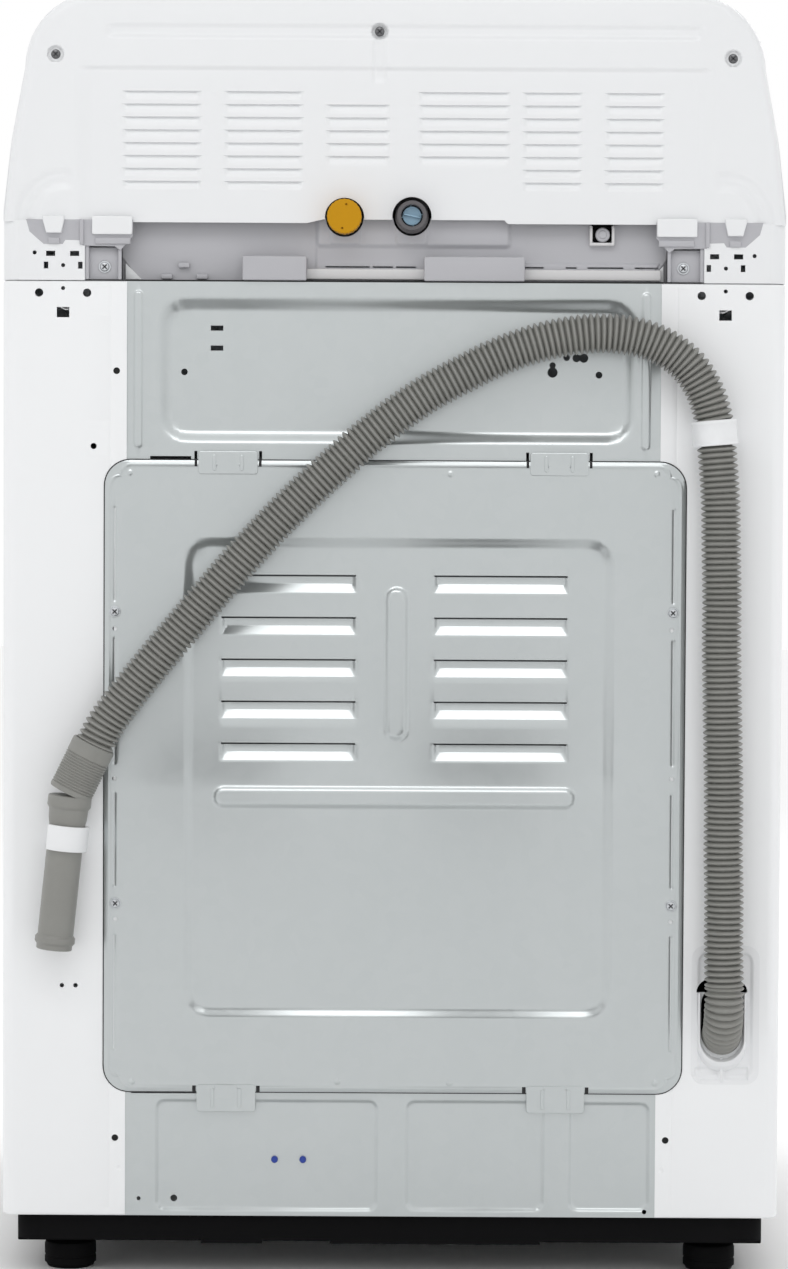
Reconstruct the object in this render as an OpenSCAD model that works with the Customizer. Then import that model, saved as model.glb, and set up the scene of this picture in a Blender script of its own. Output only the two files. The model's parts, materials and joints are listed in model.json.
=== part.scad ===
// Top load washing machine: a white wrap cabinet on four levelling feet, with a hinged glass lid,
// a raked control console at the back and a drain hose clipped across the rear.
// Millimetres. +Z is up, the front faces -Y, and the origin is on the floor under the centre.

/* [Cabinet] */
// Width over the side walls
body_w = 686; // [684:1:690]
// Front plane of the cabinet
front_y = -340; // [-342:1:-338]
// Rear plane of the cabinet
rear_y = 316; // [315:0.5:317]
// Height of the seam between cabinet and top cover
seam_z = 878; // [876:1:880]
// Underside of the cabinet wrap
skirt_z = 54; // [52:1:56]
// Thickness of the painted sheet
sheet_t = 1.5; // [1:0.1:2]
// Height over the console
top_z = 1130; // [1128:1:1134]

/* [Lid and deck] */
// Slope of the deck towards the front, in degrees
deck_angle = 4; // [4:0.5:4]
// Half width of the lid
lid_half_w = 238; // [230:1:240]
// Half width of the opening under the lid
mouth_half_w = 215; // [205:1:218]

/* [Drum] */
// Outer radius of the tub
tub_r = 298; // [294:1:300]
// Outer radius of the wash basket
basket_r = 266; // [260:1:268]
// Radius of the wash plate
plate_r = 232; // [220:1:236]
// Running clearance of the shafts, on the radius
run_gap = 0.05; // [0.02:0.01:0.1]

/* [Drain hose] */
// Outer radius of the corrugated hose
hose_r = 17.5; // [17:0.5:18]
// Outer radius of the smooth end pipe
pipe_r = 15.7; // [15:0.1:16]

/* [Feet] */
// Radius of a foot's pad
foot_r = 23; // [20:1:24]
// Radius of a foot's threaded stem
stem_r = 6; // [5:1:7]

/* [Hidden] */
$fn = 48;
half_w = body_w / 2;
cover_t = 1.2;                    // galvanised sheet
wall = 3;                         // moulded plastic
flange_x = 234;                   // inner edges of the cabinet's rear flanges
drum_y = -12;                     // axis of the drum
hose_y = rear_y + 24;             // plane of the drain hose
foot_at = [[286, -290], [-286, -290], [286, 266], [-286, 266]];

// Deck and hinge
hinge_y = 150;
hinge_z = 985;
pin_y = -22;                      // hinge pin, in the deck's own frame
pin_z = -4;
pin_r = 4;

// Console face
face_top = [226, 1112];
face_low = [158, 985];
face_mid = (face_top + face_low) / 2;
face_angle = atan2(face_top[1] - face_low[1], face_top[0] - face_low[0]);
knob_shaft_r = 5;
button_w = 36;
button_h = 17;
power_x = -235;
start_x = 235;
soil_x = -150;
spin_x = -95;

// Inlets
hot_at = [44, 934];
cold_at = [-15, 935];
gland_at = [-182, 921];
thread_r = 13.2;

// Drain outlet and pump
outlet_x = -292;
outlet_z = 214;
bend_r = 40;                      // of the moulded elbow
pump_at = [-286, 215];

// Suspension
rod_d = 262;                      // rods, to each side of the drum's axis
rod_r = 5;

// Drain hose from the elbow, up the side, over and down across the back
hose_route = [
    [-292, 262], [-291, 300], [-291, 340], [-290, 384], [-290, 428], [-289, 472], [-288, 516],
    [-287, 560], [-287, 602], [-286, 645], [-285, 689], [-282, 728], [-279, 756], [-272, 780],
    [-259, 802], [-242, 817], [-222, 827], [-200, 832], [-175, 833], [-149, 830], [-120, 823],
    [-90, 812], [-62, 798], [-31, 781], [-3, 762], [25, 740], [51, 717], [77, 693], [103, 667],
    [129, 639], [155, 609], [181, 578], [207, 547], [231, 517], [250, 491], [262, 468], [281, 430]];
cuff_from = [260, 473];
cuff_to = [281, 430];
end_top = [281, 428];
end_low = [295, 293];
sump_route = [[-150, 118, 262], [-150, 118, 225], [-158, 128, 190], [-176, 149, 150],
    [-196, 173, 122], [-214, 194, 110], [-232, 215, 108]];
lift_route = [[-286, 215, 150], [-286, 217, 178], [-288, 226, 202], [-291, 244, 213],
    [-292, 262, 214], [-292, 272, 214]];
fill_route = [[-31, 272, 938], [-60, 272, 938], [-95, 272, 938], [-120, 271, 937], [-131, 268, 932],
    [-135, 265, 924]];

// ---- Shapes that repeat ----

// A box between two values on each axis
module block(x, y, z) {
    translate([x[0], y[0], z[0]]) cube([x[1] - x[0], y[1] - y[0], z[1] - z[0]]);
}

// A rectangle between two values on each axis, with round corners
module rounded(x, y, r) {
    translate([x[0] + r, y[0]]) square([x[1] - x[0] - 2 * r, y[1] - y[0]]);
    translate([x[0], y[0] + r]) square([x[1] - x[0], y[1] - y[0] - 2 * r]);
    for (cx = [x[0] + r, x[1] - r], cy = [y[0] + r, y[1] - r]) translate([cx, cy]) circle(r);
}

// An outline in X and Z, made solid between two values of Y
module upright(y) {
    translate([0, y[1], 0]) rotate([90, 0, 0]) linear_extrude(y[1] - y[0]) children();
}

// An outline in Y and Z, made solid between two values of X
module across(x) {
    translate([x[0], 0, 0]) rotate([90, 0, 90]) linear_extrude(x[1] - x[0]) children();
}

// An outline in X and Y, made solid between two values of Z
module raised(z) {
    translate([0, 0, z[0]]) linear_extrude(z[1] - z[0]) children();
}

// A rod along Y at a point in X and Z
module rod_y(at, r, y) {
    translate([at[0], y[0], at[1]]) rotate([-90, 0, 0]) cylinder(h = y[1] - y[0], r = r);
}

// A rod along Z at a point in X and Y
module rod_z(at, r, z) {
    translate([at[0], at[1], z[0]]) cylinder(h = z[1] - z[0], r = r);
}

// A round ring along Z about the drum's axis
module ring(outer, inner, z) {
    translate([0, drum_y, z[0]]) difference() {
        cylinder(h = z[1] - z[0], r = outer);
        translate([0, 0, -1]) cylinder(h = z[1] - z[0] + 2, r = inner);
    }
}

module both_sides() {
    children();
    mirror([1, 0, 0]) children();
}

// A cross-head screw in the rear face
module rear_screw(at, r, y) {
    difference() {
        union() {
            rod_y(at, r, [y, y + 2.4]);
            rod_y(at, r * 0.45, [y - 10, y]);
        }
        for (turn = [45, 135]) translate([at[0], y + 1.9, at[1]]) rotate([0, turn, 0])
            cube([r * 1.1, 1.6, 1], center = true);
    }
}

// A round tube swept along a list of points; side is a direction that the path never runs along
function unit(v) = v / norm(v);
function heading(p, i) = unit(p[min(i + 1, len(p) - 1)] - p[max(i - 1, 0)]);
function ring_point(p, i, k, sides, r, side) =
    let (t = heading(p, i), b = unit(cross(t, side)), n = cross(b, t), a = 360 * k / sides)
    p[i] + r * (cos(a) * n + sin(a) * b);
module tube(p, r, sides, side) {
    rings = len(p);
    points = [for (i = [0:rings - 1], k = [0:sides - 1]) ring_point(p, i, k, sides, r, side)];
    walls = [for (i = [0:rings - 2], k = [0:sides - 1], half = [0, 1])
        let (a = i * sides + k, b = i * sides + (k + 1) % sides)
        half == 0 ? [a, b, b + sides] : [a, b + sides, a + sides]];
    near = [[for (k = [0:sides - 1]) sides - 1 - k]];
    far = [[for (k = [0:sides - 1]) (rings - 1) * sides + k]];
    polyhedron(points, concat(near, walls, far), convexity = 6);
}

// A straight piece in the hose's plane from one point to another, starting at the first
module along(from, to) {
    translate([from[0], hose_y, from[1]])
        rotate([0, atan2(to[0] - from[0], to[1] - from[1]), 0]) children();
}

// ---- Base ----

module base_frame() {
    outer = half_w - 12;
    color("#1b1b1c") difference() {
        union() {
            raised([28, skirt_z]) difference() {
                rounded([-outer, outer], [front_y + 10, rear_y - 8], 20);
                rounded([-outer + 62, outer - 62], [front_y + 72, rear_y - 70], 14);
            }
            for (at = foot_at) rod_z(at, 14, [28, 64]);
        }
        for (at = foot_at) rod_z(at, stem_r + run_gap, [20, 80]);
        for (x = [[-340, -133], [53, 113], [167, 340]])
            block(x, [rear_y - 20, rear_y], [20, 31]);
    }
}

module foot(at) {
    color("#1f1f20") translate([at[0], at[1], 0]) {
        cylinder(h = 4, r1 = foot_r - 3, r2 = foot_r);
        translate([0, 0, 4]) cylinder(h = 20, r = foot_r);
        translate([0, 0, 24]) cylinder(h = 34, r = stem_r);
    }
}
module foot_front_left() { foot(foot_at[1]); }
module foot_front_right() { foot(foot_at[0]); }
module foot_rear_left() { foot(foot_at[3]); }
module foot_rear_right() { foot(foot_at[2]); }

// ---- Cabinet ----

module cabinet_outline(inset, corner) {
    rounded([-half_w + inset, half_w - inset], [front_y + inset, rear_y - inset], corner);
}

module cabinet() {
    color("#f0f1f3") difference() {
        raised([skirt_z, seam_z]) difference() {
            cabinet_outline(0, 12);
            cabinet_outline(sheet_t, 12 - sheet_t);
            translate([-flange_x, rear_y - 20]) square([2 * flange_x, 40]);
        }
        both_sides() {
            for (x = [269, 311]) rod_y([x, 867], 3.7, [rear_y - 5, rear_y + 5]);
            rod_y([290, 871], 1.8, [rear_y - 5, rear_y + 5]);
            block([284.5, 295.5], [rear_y - 5, rear_y + 5], [845.5, 854.5]);
            rod_y([243, 123], 3, [rear_y - 5, rear_y + 5]);
        }
        rod_y([243, 799], 3, [rear_y - 5, rear_y + 5]);
        rod_y([263, 733], 2.7, [rear_y - 5, rear_y + 5]);
        for (x = [278, 290]) rod_y([x, 258], 2, [rear_y - 5, rear_y + 5]);
        upright([rear_y - 5, rear_y + 5]) rounded([-325, -265], [173, 296], 12);
    }
}

// A sheet with a pressed recess: outline, recess, floor depth
module pressed(y, z0, z1, x0, x1, rx, rz, depth, corner) {
    difference() {
        block([x0, x1], [y - cover_t, y], [z0, z1]);
        upright([y - 5, y + 5]) rounded(rx, rz, corner);
    }
    difference() {
        upright([y - depth - cover_t, y]) rounded([rx[0] - cover_t, rx[1] + cover_t],
            [rz[0] - cover_t, rz[1] + cover_t], corner + cover_t);
        upright([y - depth, y + 5]) rounded(rx, rz, corner);
    }
}

module rear_top_brace() {
    inner_y = rear_y - sheet_t;
    color("#bcc4c6") difference() {
        pressed(inner_y, 722, seam_z, -252, 252, [-207, 201], [741, 858], 12, 18);
        for (z = [819, 837]) block([147.5, 158.5], [rear_y - 30, rear_y], [z - 2.2, z + 2.2]);
        for (at = [[183, 797], [-183, 797], [-143, 802], [-155, 812], [-163, 812]])
            rod_y(at, 3, [rear_y - 30, rear_y]);
    }
}

module rear_bottom_brace() {
    inner_y = rear_y - sheet_t;
    color("#b6b9b8") difference() {
        block([-252, 252], [inner_y - cover_t, inner_y], [skirt_z, 164]);
        for (at = [[191, 69], [222, 69], [-225, 59]]) rod_y(at, 2, [rear_y - 5, rear_y]);
        for (x = [77, 102]) rod_y([x, 104], 2, [rear_y - 5, rear_y]);
    }
}

module rear_cover() {
    color("#bbc1c2") difference() {
        union() {
            upright([rear_y, rear_y + cover_t]) rounded([-256, 253], [165, 721], 23);
            upright([rear_y - 6, rear_y + cover_t]) rounded([-195, 184], [230, 654], 22);
            for (x = [[119, 171], [-171, -120]])
                block(x, [rear_y, rear_y + cover_t], [160, 729]);
        }
        upright([rear_y - 3, rear_y + 5]) rounded([-194, 183], [231, 653], 21);
        for (row = [0:4], x = [[31, 152], [-155, -35]])
            block(x, [rear_y - 9, rear_y + 5], [619 - 37 * row, 621 - 37 * row]);
        for (z = [317, 441, 573], x = [244, -245]) rod_y([x, z], 2, [rear_y - 5, rear_y + 5]);
    }
    // floor of the pressed field, with its raised beads
    color("#bbc1c2") {
        upright([rear_y - 5, rear_y + 1]) rounded([-14, 8], [475, 611], 10);
        upright([rear_y - 5, rear_y + 1]) rounded([-162, 158], [414, 436], 10);
    }
}

module rear_cover_screws() {
    color("#c9cdd0") for (z = [331, 588], x = [243, -246])
        rear_screw([x, z], 4.5, rear_y + cover_t);
}

// ---- Top cover and shelf ----

module on_deck() {
    translate([0, hinge_y, hinge_z]) rotate([deck_angle, 0, 0]) children();
}

module deck_profile(t) {
    polygon([[rear_y - t, seam_z - (t > 0 ? 1 : 0)], [rear_y - t, 930 - t], [hinge_y - t, 930 - t],
        [hinge_y - t, hinge_z - t], [-330, 951 - t], [-351 + t * 0.8, 941 - t * 0.8],
        [-360 + t, 920], [-358 + t, 895], [-349 + t, seam_z - (t > 0 ? 1 : 0)]]);
}

module top_cover() {
    lock_slot = [88, 112];
    color("#f1f2f4") difference() {
        union() {
            difference() {
                intersection() {
                    across([-half_w, half_w]) deck_profile(0);
                    raised([seam_z - 5, hinge_z + 5])
                        rounded([-half_w, half_w], [-360, rear_y], 14);
                }
                intersection() {
                    across([-half_w + wall, half_w - wall]) deck_profile(wall);
                    raised([seam_z - 5, hinge_z + 5])
                        rounded([-half_w + wall, half_w - wall], [-360 + wall, rear_y - wall], 11);
                }
            }
            on_deck() raised([-40, -wall / 2]) rounded([-262, 262], [-494, -wall], 40);
        }
        // pocket that the lid lies in, and the mouth below it
        on_deck() raised([-11, 20]) rounded([-lid_half_w - 3, lid_half_w + 3], [-482, -6], 33);
        on_deck() raised([-60, 20]) rounded([-mouth_half_w, mouth_half_w], [-455, -35], 60);
        on_deck() block([-80, 80], [-489, -470], [-11, 20]);
        on_deck() block([-lid_half_w - 3, lid_half_w + 3], [-37, -8], [-14, 0]);
        on_deck() block(lock_slot, [-470, -452.5], [-60, 0]);
        on_deck() translate([-256, pin_y, pin_z]) rotate([0, 90, 0])
            cylinder(h = 512, r = pin_r + run_gap);
        // rear window that the shelf fills, and notches for the console's hooks
        both_sides() block([282, 310], [rear_y - 10, rear_y + 5], [916, 932]);
        block([-271, 271], [232, rear_y + 5], [seam_z - 5, 935]);
        both_sides() {
            rod_y([315, 902], 1.8, [rear_y - 8, rear_y + 5]);
            rod_y([290, 891], 1.8, [rear_y - 8, rear_y + 5]);
            for (x = [280, 301]) block([x - 4, x + 4], [rear_y - 8, rear_y + 5], [899, 903.5]);
            for (x = [275, 305]) block([x - 2, x + 2], [rear_y - 8, rear_y + 5], [888, 894]);
        }
    }
}

module rear_shelf() {
    floor_y = rear_y - 16;
    color("#b4b4b8") difference() {
        union() {
            block([-271, 271], [floor_y - wall, floor_y], [seam_z + 1, 928]);
            block([-271, 271], [232, floor_y], [925, 928]);
            block([77, 133], [floor_y, rear_y + 3], [seam_z + 0.5, 900]);
            block([-114, -26], [floor_y, rear_y + 3], [seam_z + 0.5, 900]);
            block([-236, -114], [floor_y, floor_y + 8], [seam_z + 1, 891]);
            block([-26, 77], [floor_y, floor_y + 8], [seam_z + 1, 891]);
            both_sides() block([239, 271], [floor_y, rear_y - 6], [seam_z + 1, 908]);
            both_sides() block([262, 271], [floor_y, rear_y - 1], [905, 928]);
        }
        rod_y(hot_at, 17, [220, rear_y + 5]);
        rod_y(cold_at, 17, [220, rear_y + 5]);
        block([gland_at[0] - 8.5, gland_at[0] + 8.5], [220, rear_y], [914, 930]);
        block([-190, 66], [225, 296], [920, 930]);
    }
}

module top_cover_screws() {
    color("#cfd3d5") for (x = [254, -253]) rear_screw([x, 890], 4.5, rear_y - 6);
}

// ---- Console ----

// Right half of the console's outline from its foot to the top, with a round shoulder
function console_half(low, grow) =
    let (r = 64 + grow, top = top_z - 2 + grow)
    concat([[half_w - 1 + grow, low], [334 + grow, 1000]],
        [for (a = [0:7.5:90]) [258 + r * cos(a), top - r + r * sin(a)]]);

module console_outline(low, grow) {
    right = console_half(low, grow);
    left = [for (i = [len(right) - 1:-1:0]) [-right[i][0], right[i][1]]];
    polygon(concat(right, left));
}

module console_profile(t) {
    polygon([[rear_y - 8 + t, 930 - t], [rear_y - 8 + t, 1130], [rear_y - 20, 1140],
        [252, 1140], [236 + t * 0.3, 1126 - t], [226 + t * 0.4, 1112 - t],
        [158 + t * 1.14, 985], [hinge_y + t, 965], [hinge_y + t, 930 - t]]);
}

module on_face() {
    translate([0, face_mid[0], face_mid[1]]) rotate([face_angle, 0, 0]) children();
}

module console_housing() {
    color("#eff0f2") difference() {
        intersection() {
            across([-half_w, half_w]) console_profile(0);
            upright([hinge_y - 1, rear_y - 8]) console_outline(930, 2);
        }
        intersection() {
            across([-half_w, half_w]) console_profile(wall);
            upright([hinge_y - 1, rear_y]) console_outline(925, 2 - wall);
        }
        on_face() cylinder(h = 40, r = knob_shaft_r + 3, center = true);
        for (x = [power_x, start_x, soil_x, spin_x]) on_face()
            block([x - 20, x + 20], [-11, 11], [-20, 20]);
        on_face() block([75, 185], [-24, 24], [-20, 20]);
    }
}

// Ventilation slots: left edge, number of slots, width
vent_groups = [[169, 239, 1044, 8], [80, 150, 1043, 8], [4, 61, 1032, 5], [-101, -20, 1043, 6],
    [-164, -111, 1043, 8], [-236, -183, 1043, 8]];
vent_pitch = 11.2;

module console_rear_cover() {
    color("#eff0f2") difference() {
        union() {
            upright([rear_y - 8, rear_y]) console_outline(930.5, -5);
            for (side = [-1, 1]) {
                upright([rear_y - 8, rear_y - 2]) polygon([[284 * side, 935], [308 * side, 935],
                    [307 * side, 930], [301 * side, 918], [289 * side, 918], [285 * side, 930]]);
                block([244.5 * side - 17.5, 244.5 * side + 17.5], [rear_y - 8, rear_y - 2],
                    [918, 935]);
            }
        }
        upright([rear_y - 16, rear_y - wall]) rounded([-280, 280], [900, 1060], 20);
        rod_y(hot_at, 17.5, [rear_y - 20, rear_y + 5]);
        rod_y(cold_at, 17.5, [rear_y - 20, rear_y + 5]);
        for (g = vent_groups, row = [0:g[3] - 1])
            block([g[0], g[1]], [rear_y - 1.6, rear_y + 5],
                [g[2] - vent_pitch * row - 3, g[2] - vent_pitch * row]);
        for (at = [[297, 1075], [14, 1096], [-295, 1074]]) rod_y(at, 5, [rear_y - 3, rear_y + 1]);
    }
}

module console_screws() {
    color("#9a9da1") for (at = [[297, 1075], [14, 1096], [-295, 1074]])
        rear_screw(at, 4.2, rear_y - 3);
}

module control_panel() {
    color("#2a2c30") on_face() difference() {
        raised([0, 2.5]) rounded([-290, 290], [-58, 58], 18);
        cylinder(h = 10, r = knob_shaft_r + run_gap, center = true);
        for (x = [power_x, start_x, soil_x, spin_x])
            raised([-5, 5]) rounded([x - button_w / 2 - 0.5, x + button_w / 2 + 0.5],
                [-button_h / 2 - 0.5, button_h / 2 + 0.5], 4);
        raised([1, 5]) rounded([80, 180], [-22, 22], 4);
    }
}

module display_window() {
    color("#101418") on_face() raised([1, 2.4]) rounded([80.2, 179.8], [-21.8, 21.8], 3.9);
}

module control_knob() {
    color("#d9dbde") on_face() {
        translate([0, 0, 3]) cylinder(h = 3, r = 33);
        translate([0, 0, 6]) cylinder(h = 16, r1 = 30, r2 = 28);
        translate([0, 0, -12]) cylinder(h = 15, r = knob_shaft_r);
    }
}

module button(x) {
    color("#d4d6d9") on_face() raised([-3, 4.6])
        rounded([x - button_w / 2, x + button_w / 2], [-button_h / 2, button_h / 2], 3.5);
}
module power_button() { button(power_x); }
module start_button() { button(start_x); }
module soil_button() { button(soil_x); }
module spin_button() { button(spin_x); }

module control_board() {
    color("#2f6b43") on_face() {
        block([-255, 255], [-40, 40], [-20, -18]);
        block([-60, -20], [10, 34], [-30, -20]);
        block([90, 170], [-20, 20], [-18, -9]);
        block([-200, -160], [-30, -6], [-34, -20]);
        block([190, 240], [-34, -10], [-32, -20]);
    }
}

// ---- Lid ----

module lid_frame() {
    color("#e9eaec") on_deck() difference() {
        union() {
            raised([-10, 6]) rounded([-lid_half_w, lid_half_w], [-478, -16], 30);
            block([-70, 70], [-486, -470], [-6, 3]);
        }
        raised([-20, 20]) rounded([-205, 205], [-440, -52], 40);
        raised([1, 20]) rounded([-212, 212], [-447, -45], 46);
        translate([-260, pin_y, pin_z]) rotate([0, 90, 0]) cylinder(h = 520, r = pin_r);
    }
}

module lid_glass() {
    color([0.25, 0.28, 0.3, 0.45]) on_deck() raised([1, 5]) rounded([-211.5, 211.5],
        [-446.5, -45.5], 45);
}

module lid_hinge_pins() {
    color("#a7abb0") on_deck() for (x = [-254, 214])
        translate([x, pin_y, pin_z]) rotate([0, 90, 0]) cylinder(h = 40, r = pin_r);
}

module lid_strike() {
    color("#dcdddf") on_deck() block([92, 108], [-467, -459], [-50, -10]);
}

module lid_lock() {
    color("#2b2b2d") on_deck() difference() {
        block([80, 120], [-478, -444], [-64, -40]);
        block([88, 112], [-470, -452.5], [-60, -30]);
    }
}

// ---- Dispenser ----

drawer_x = [-200, -70];

module dispenser_housing() {
    color("#dfe3e6") difference() {
        block([drawer_x[0] - 4, drawer_x[1] + 4], [120, 290], [884, 924]);
        block([drawer_x[0] - 1, drawer_x[1] + 1], [110, 287], [887, 921]);
        rod_z([-135, 265], 7, [915, 930]);
    }
}

module detergent_drawer() {
    color("#eceef0") difference() {
        union() {
            block(drawer_x, [118, 285], [888, 918]);
            block([drawer_x[0] - 4, drawer_x[1] + 4], [112, 119], [884, 924]);
            block([-155, -115], [104, 113], [890, 900]);
        }
        block([drawer_x[0] + 3, -142], [122, 282], [891, 930]);
        block([-138, drawer_x[1] - 3], [122, 282], [891, 930]);
    }
}

// ---- Water inlets ----

module valve(at, body) {
    color("#55565a") difference() {
        union() {
            rod_y(at, 14.5, [292, 312]);
            rod_y(at, thread_r, [312, 330]);
            block([at[0] - 15, at[0] + 15], [252, 292], [at[1] - 14, at[1] + 20]);
            rod_z([at[0], 270], 12, [at[1] + 20, at[1] + 52]);
        }
        rod_y(at, 9.4, [300, 335]);
    }
}
module hot_inlet_valve() {
    valve(hot_at);
    color("#55565a") block([0, 29], [262, 282], [930, 946]);
}
module cold_inlet_valve() {
    valve(cold_at);
    color("#55565a") translate([-31, 272, 938]) rotate([0, 90, 0]) cylinder(h = 2, r = 9);
}

module cold_inlet_filter() {
    color("#8fb0c6") {
        rod_y(cold_at, 8.4, [302, 322]);
        rod_y(cold_at, 9.4, [300, 304]);
        translate([cold_at[0], 323, cold_at[1]]) rotate([0, -10, 0])
            cube([14, 4, 1.6], center = true);
    }
}

module hot_inlet_cap() {
    color("#cf9420") difference() {
        rod_y(hot_at, 15.2, [313, 334]);
        rod_y(hot_at, thread_r + 0.06, [310, 332]);
        for (dz = [-8.4, 8.4]) rod_y([hot_at[0] - dz * 0.18, hot_at[1] + dz], 0.9, [331, 336]);
    }
}

module fill_hose() {
    color("#4a4b4f") tube(fill_route, 8, 10, [0, 1, 0]);
}

module cord_gland() {
    color("#2a2a2c") block([gland_at[0] - 8.5, gland_at[0] + 8.5], [290, 296], [914, 928]);
    color("#8d8e90") rod_y(gland_at, 6.6, [296, 305]);
}

// ---- Tub, basket and drive ----

module outer_tub() {
    spigot = [-150, 118];
    color("#d3d7da") difference() {
        union() {
            ring(tub_r, tub_r - wall, [292, 852]);
            ring(tub_r, 40, [292, 298]);
            for (sx = [-1, 1], sy = [-1, 1]) translate([0, drum_y, 0])
                rotate([0, 0, atan2(sy, sx)]) block([tub_r - 2, 386], [-16, 16], [424, 440]);
            rod_z(spigot, 18, [262, 292]);
        }
        rod_z(spigot, 15, [250, 310]);
        for (sx = [-1, 1], sy = [-1, 1])
            rod_z([sx * rod_d, drum_y + sy * rod_d], rod_r + 2, [400, 460]);
    }
}

module tub_cover() {
    color("#dfe2e4") {
        ring(tub_r, 234, [852, 857]);
        ring(238, 234, [857, 872]);
    }
}

module wash_basket() {
    color("#b9bdc1") {
        ring(basket_r, basket_r - 1.5, [318, 806]);
        ring(basket_r, 30, [318, 320]);
    }
}

module balance_ring() {
    color("#e3e6e8") translate([0, drum_y, 0]) rotate_extrude()
        polygon([[240, 806], [272, 806], [272, 838], [266, 846], [246, 846], [238, 836]]);
}

module basket_hub() {
    color("#9fa3a8") difference() {
        union() {
            ring(60, 15, [302, 318]);
            for (turn = [90, 210, 330]) translate([0, drum_y, 0]) rotate([0, 0, turn])
                block([50, 255], [-16, 16], [308, 318]);
        }
        rod_z([0, drum_y], 15, [290, 330]);
    }
}

module spin_shaft() {
    color("#8b8f94") ring(15, 9 + run_gap, [168, 318]);
}

module wash_plate() {
    color("#cfd6da") difference() {
        translate([0, drum_y, 0]) union() {
            rotate_extrude() polygon([[0, 324], [plate_r, 324], [plate_r, 328], [222, 334],
                [150, 336], [70, 346], [40, 356], [0, 360]]);
            for (turn = [0:60:300]) rotate([0, 0, turn]) block([60, 205], [-7, 7], [330, 350]);
        }
        rod_z([0, drum_y], 9, [320, 342]);
    }
}

module wash_plate_shaft() {
    color("#8b8f94") {
        rod_z([0, drum_y], 9, [136, 342]);
        translate([0, drum_y, 130]) cylinder(h = 8, r = 15, $fn = 6);
    }
}

module bearing_housing() {
    color("#8f9296") {
        ring(40, 28, [158, 298]);
        ring(130, 40, [284, 292]);
        for (turn = [30:60:330]) translate([0, drum_y, 0]) rotate([0, 0, turn])
            block([38, 110], [-3, 3], [250, 284]);
    }
}

module tub_bearings() {
    color("#b7bbbf") {
        ring(28, 15 + run_gap, [206, 222]);
        ring(28, 15 + run_gap, [262, 278]);
    }
}

module tub_seal() {
    color("#1c1c1d") ring(28, 15 + run_gap, [285, 297]);
}

module motor_stator() {
    color("#b0703a") {
        ring(92, 40, [164, 190]);
        for (turn = [0:15:345]) translate([0, drum_y, 0]) rotate([0, 0, turn])
            block([90, 127], [-4.5, 4.5], [164, 190]);
    }
}

module motor_rotor() {
    color("#a3a6aa") {
        ring(145, 9, [146, 150]);
        ring(145, 134, [150, 196]);
        ring(24, 9, [138, 150]);
    }
    color("#3a3b3e") for (turn = [0:15:345]) translate([0, drum_y, 0]) rotate([0, 0, turn])
        block([131, 134.5], [-13, 13], [156, 194]);
}

// ---- Suspension ----

module each_rod() {
    for (sx = [-1, 1], sy = [-1, 1]) translate([sx * rod_d, drum_y + sy * rod_d, 0]) children();
}

module suspension_rods() {
    color("#9ea2a6") each_rod() {
        translate([0, 0, 352]) cylinder(h = 518, r = rod_r);
        translate([0, 0, 346]) cylinder(h = 8, r = 17);
        translate([0, 0, 866]) cylinder(h = 8, r = 11);
    }
}

module suspension_springs() {
    turns = 5;
    steps = 9;
    coil = [for (i = [0:turns * steps]) let (a = 360 * i / steps)
        [11 * cos(a), 11 * sin(a), 357 + 64 * i / (turns * steps)]];
    color("#6f7377") each_rod() tube(coil, 2, 5, [0, 0, 1]);
}

module suspension_hangers() {
    color("#b4b9bb") each_rod() difference() {
        block([-30, 30], [-30, 30], [860, 866]);
        translate([0, 0, 850]) cylinder(h = 30, r = rod_r + 1);
    }
    // webs that tie the hangers to the side walls
    color("#b4b9bb") for (sx = [-1, 1], sy = [-1, 1])
        block(sx > 0 ? [290, half_w - sheet_t] : [-half_w + sheet_t, -290],
            [drum_y + sy * rod_d - 30, drum_y + sy * rod_d + 30], [860, 866]);
}

// ---- Drain ----

module drain_pump() {
    color("#d8dadc") difference() {
        union() {
            rod_z(pump_at, 36, [skirt_z, 128]);
            translate([-252, 215, 108]) rotate([0, 90, 0]) cylinder(h = 20, r = 14);
            rod_z(pump_at, 12, [128, 150]);
        }
        rod_z(pump_at, 27, [96, 124]);
        rod_z(pump_at, 3 + run_gap, [74, 100]);
        rod_z(pump_at, 9, [120, 155]);
        translate([-268, 215, 108]) rotate([0, 90, 0]) cylinder(h = 40, r = 11);
    }
}

module pump_impeller() {
    color("#3b6ea5") {
        rod_z(pump_at, 3, [78, 118]);
        rod_z(pump_at, 8, [99, 118]);
        translate([pump_at[0], pump_at[1], 0]) for (turn = [0:60:300]) rotate([0, 0, turn])
            block([6, 23], [-1, 1], [99, 116]);
    }
}

module pump_hoses() {
    color("#3a3a3c") tube(sump_route, 21, 12, unit([0.75, -0.66, 0]));
    color("#3a3a3c") tube(lift_route, 15, 12, [1, 0, 0]);
}

module drain_outlet() {
    color("#eeeff0") difference() {
        union() {
            upright([rear_y - 12, rear_y]) rounded([-325, -265], [173, 296], 12);
            block([-318, -266], [rear_y - 44, rear_y - 8], [188, 268]);
        }
        upright([rear_y - 2.5, rear_y + 5]) rounded([-322, -268], [176, 293], 10);
        upright([rear_y - 40, rear_y + 5]) {
            translate([outlet_x, outlet_z]) circle(22);
            translate([outlet_x - 22, outlet_z]) square([44, 50]);
        }
        rod_y([outlet_x, outlet_z], 15, [rear_y - 60, rear_y]);
    }
}

module drain_hose() {
    color("#96958f") tube([for (p = hose_route) [p[0], hose_y, p[1]]], hose_r, 12, [0, 1, 0]);
}

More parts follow.
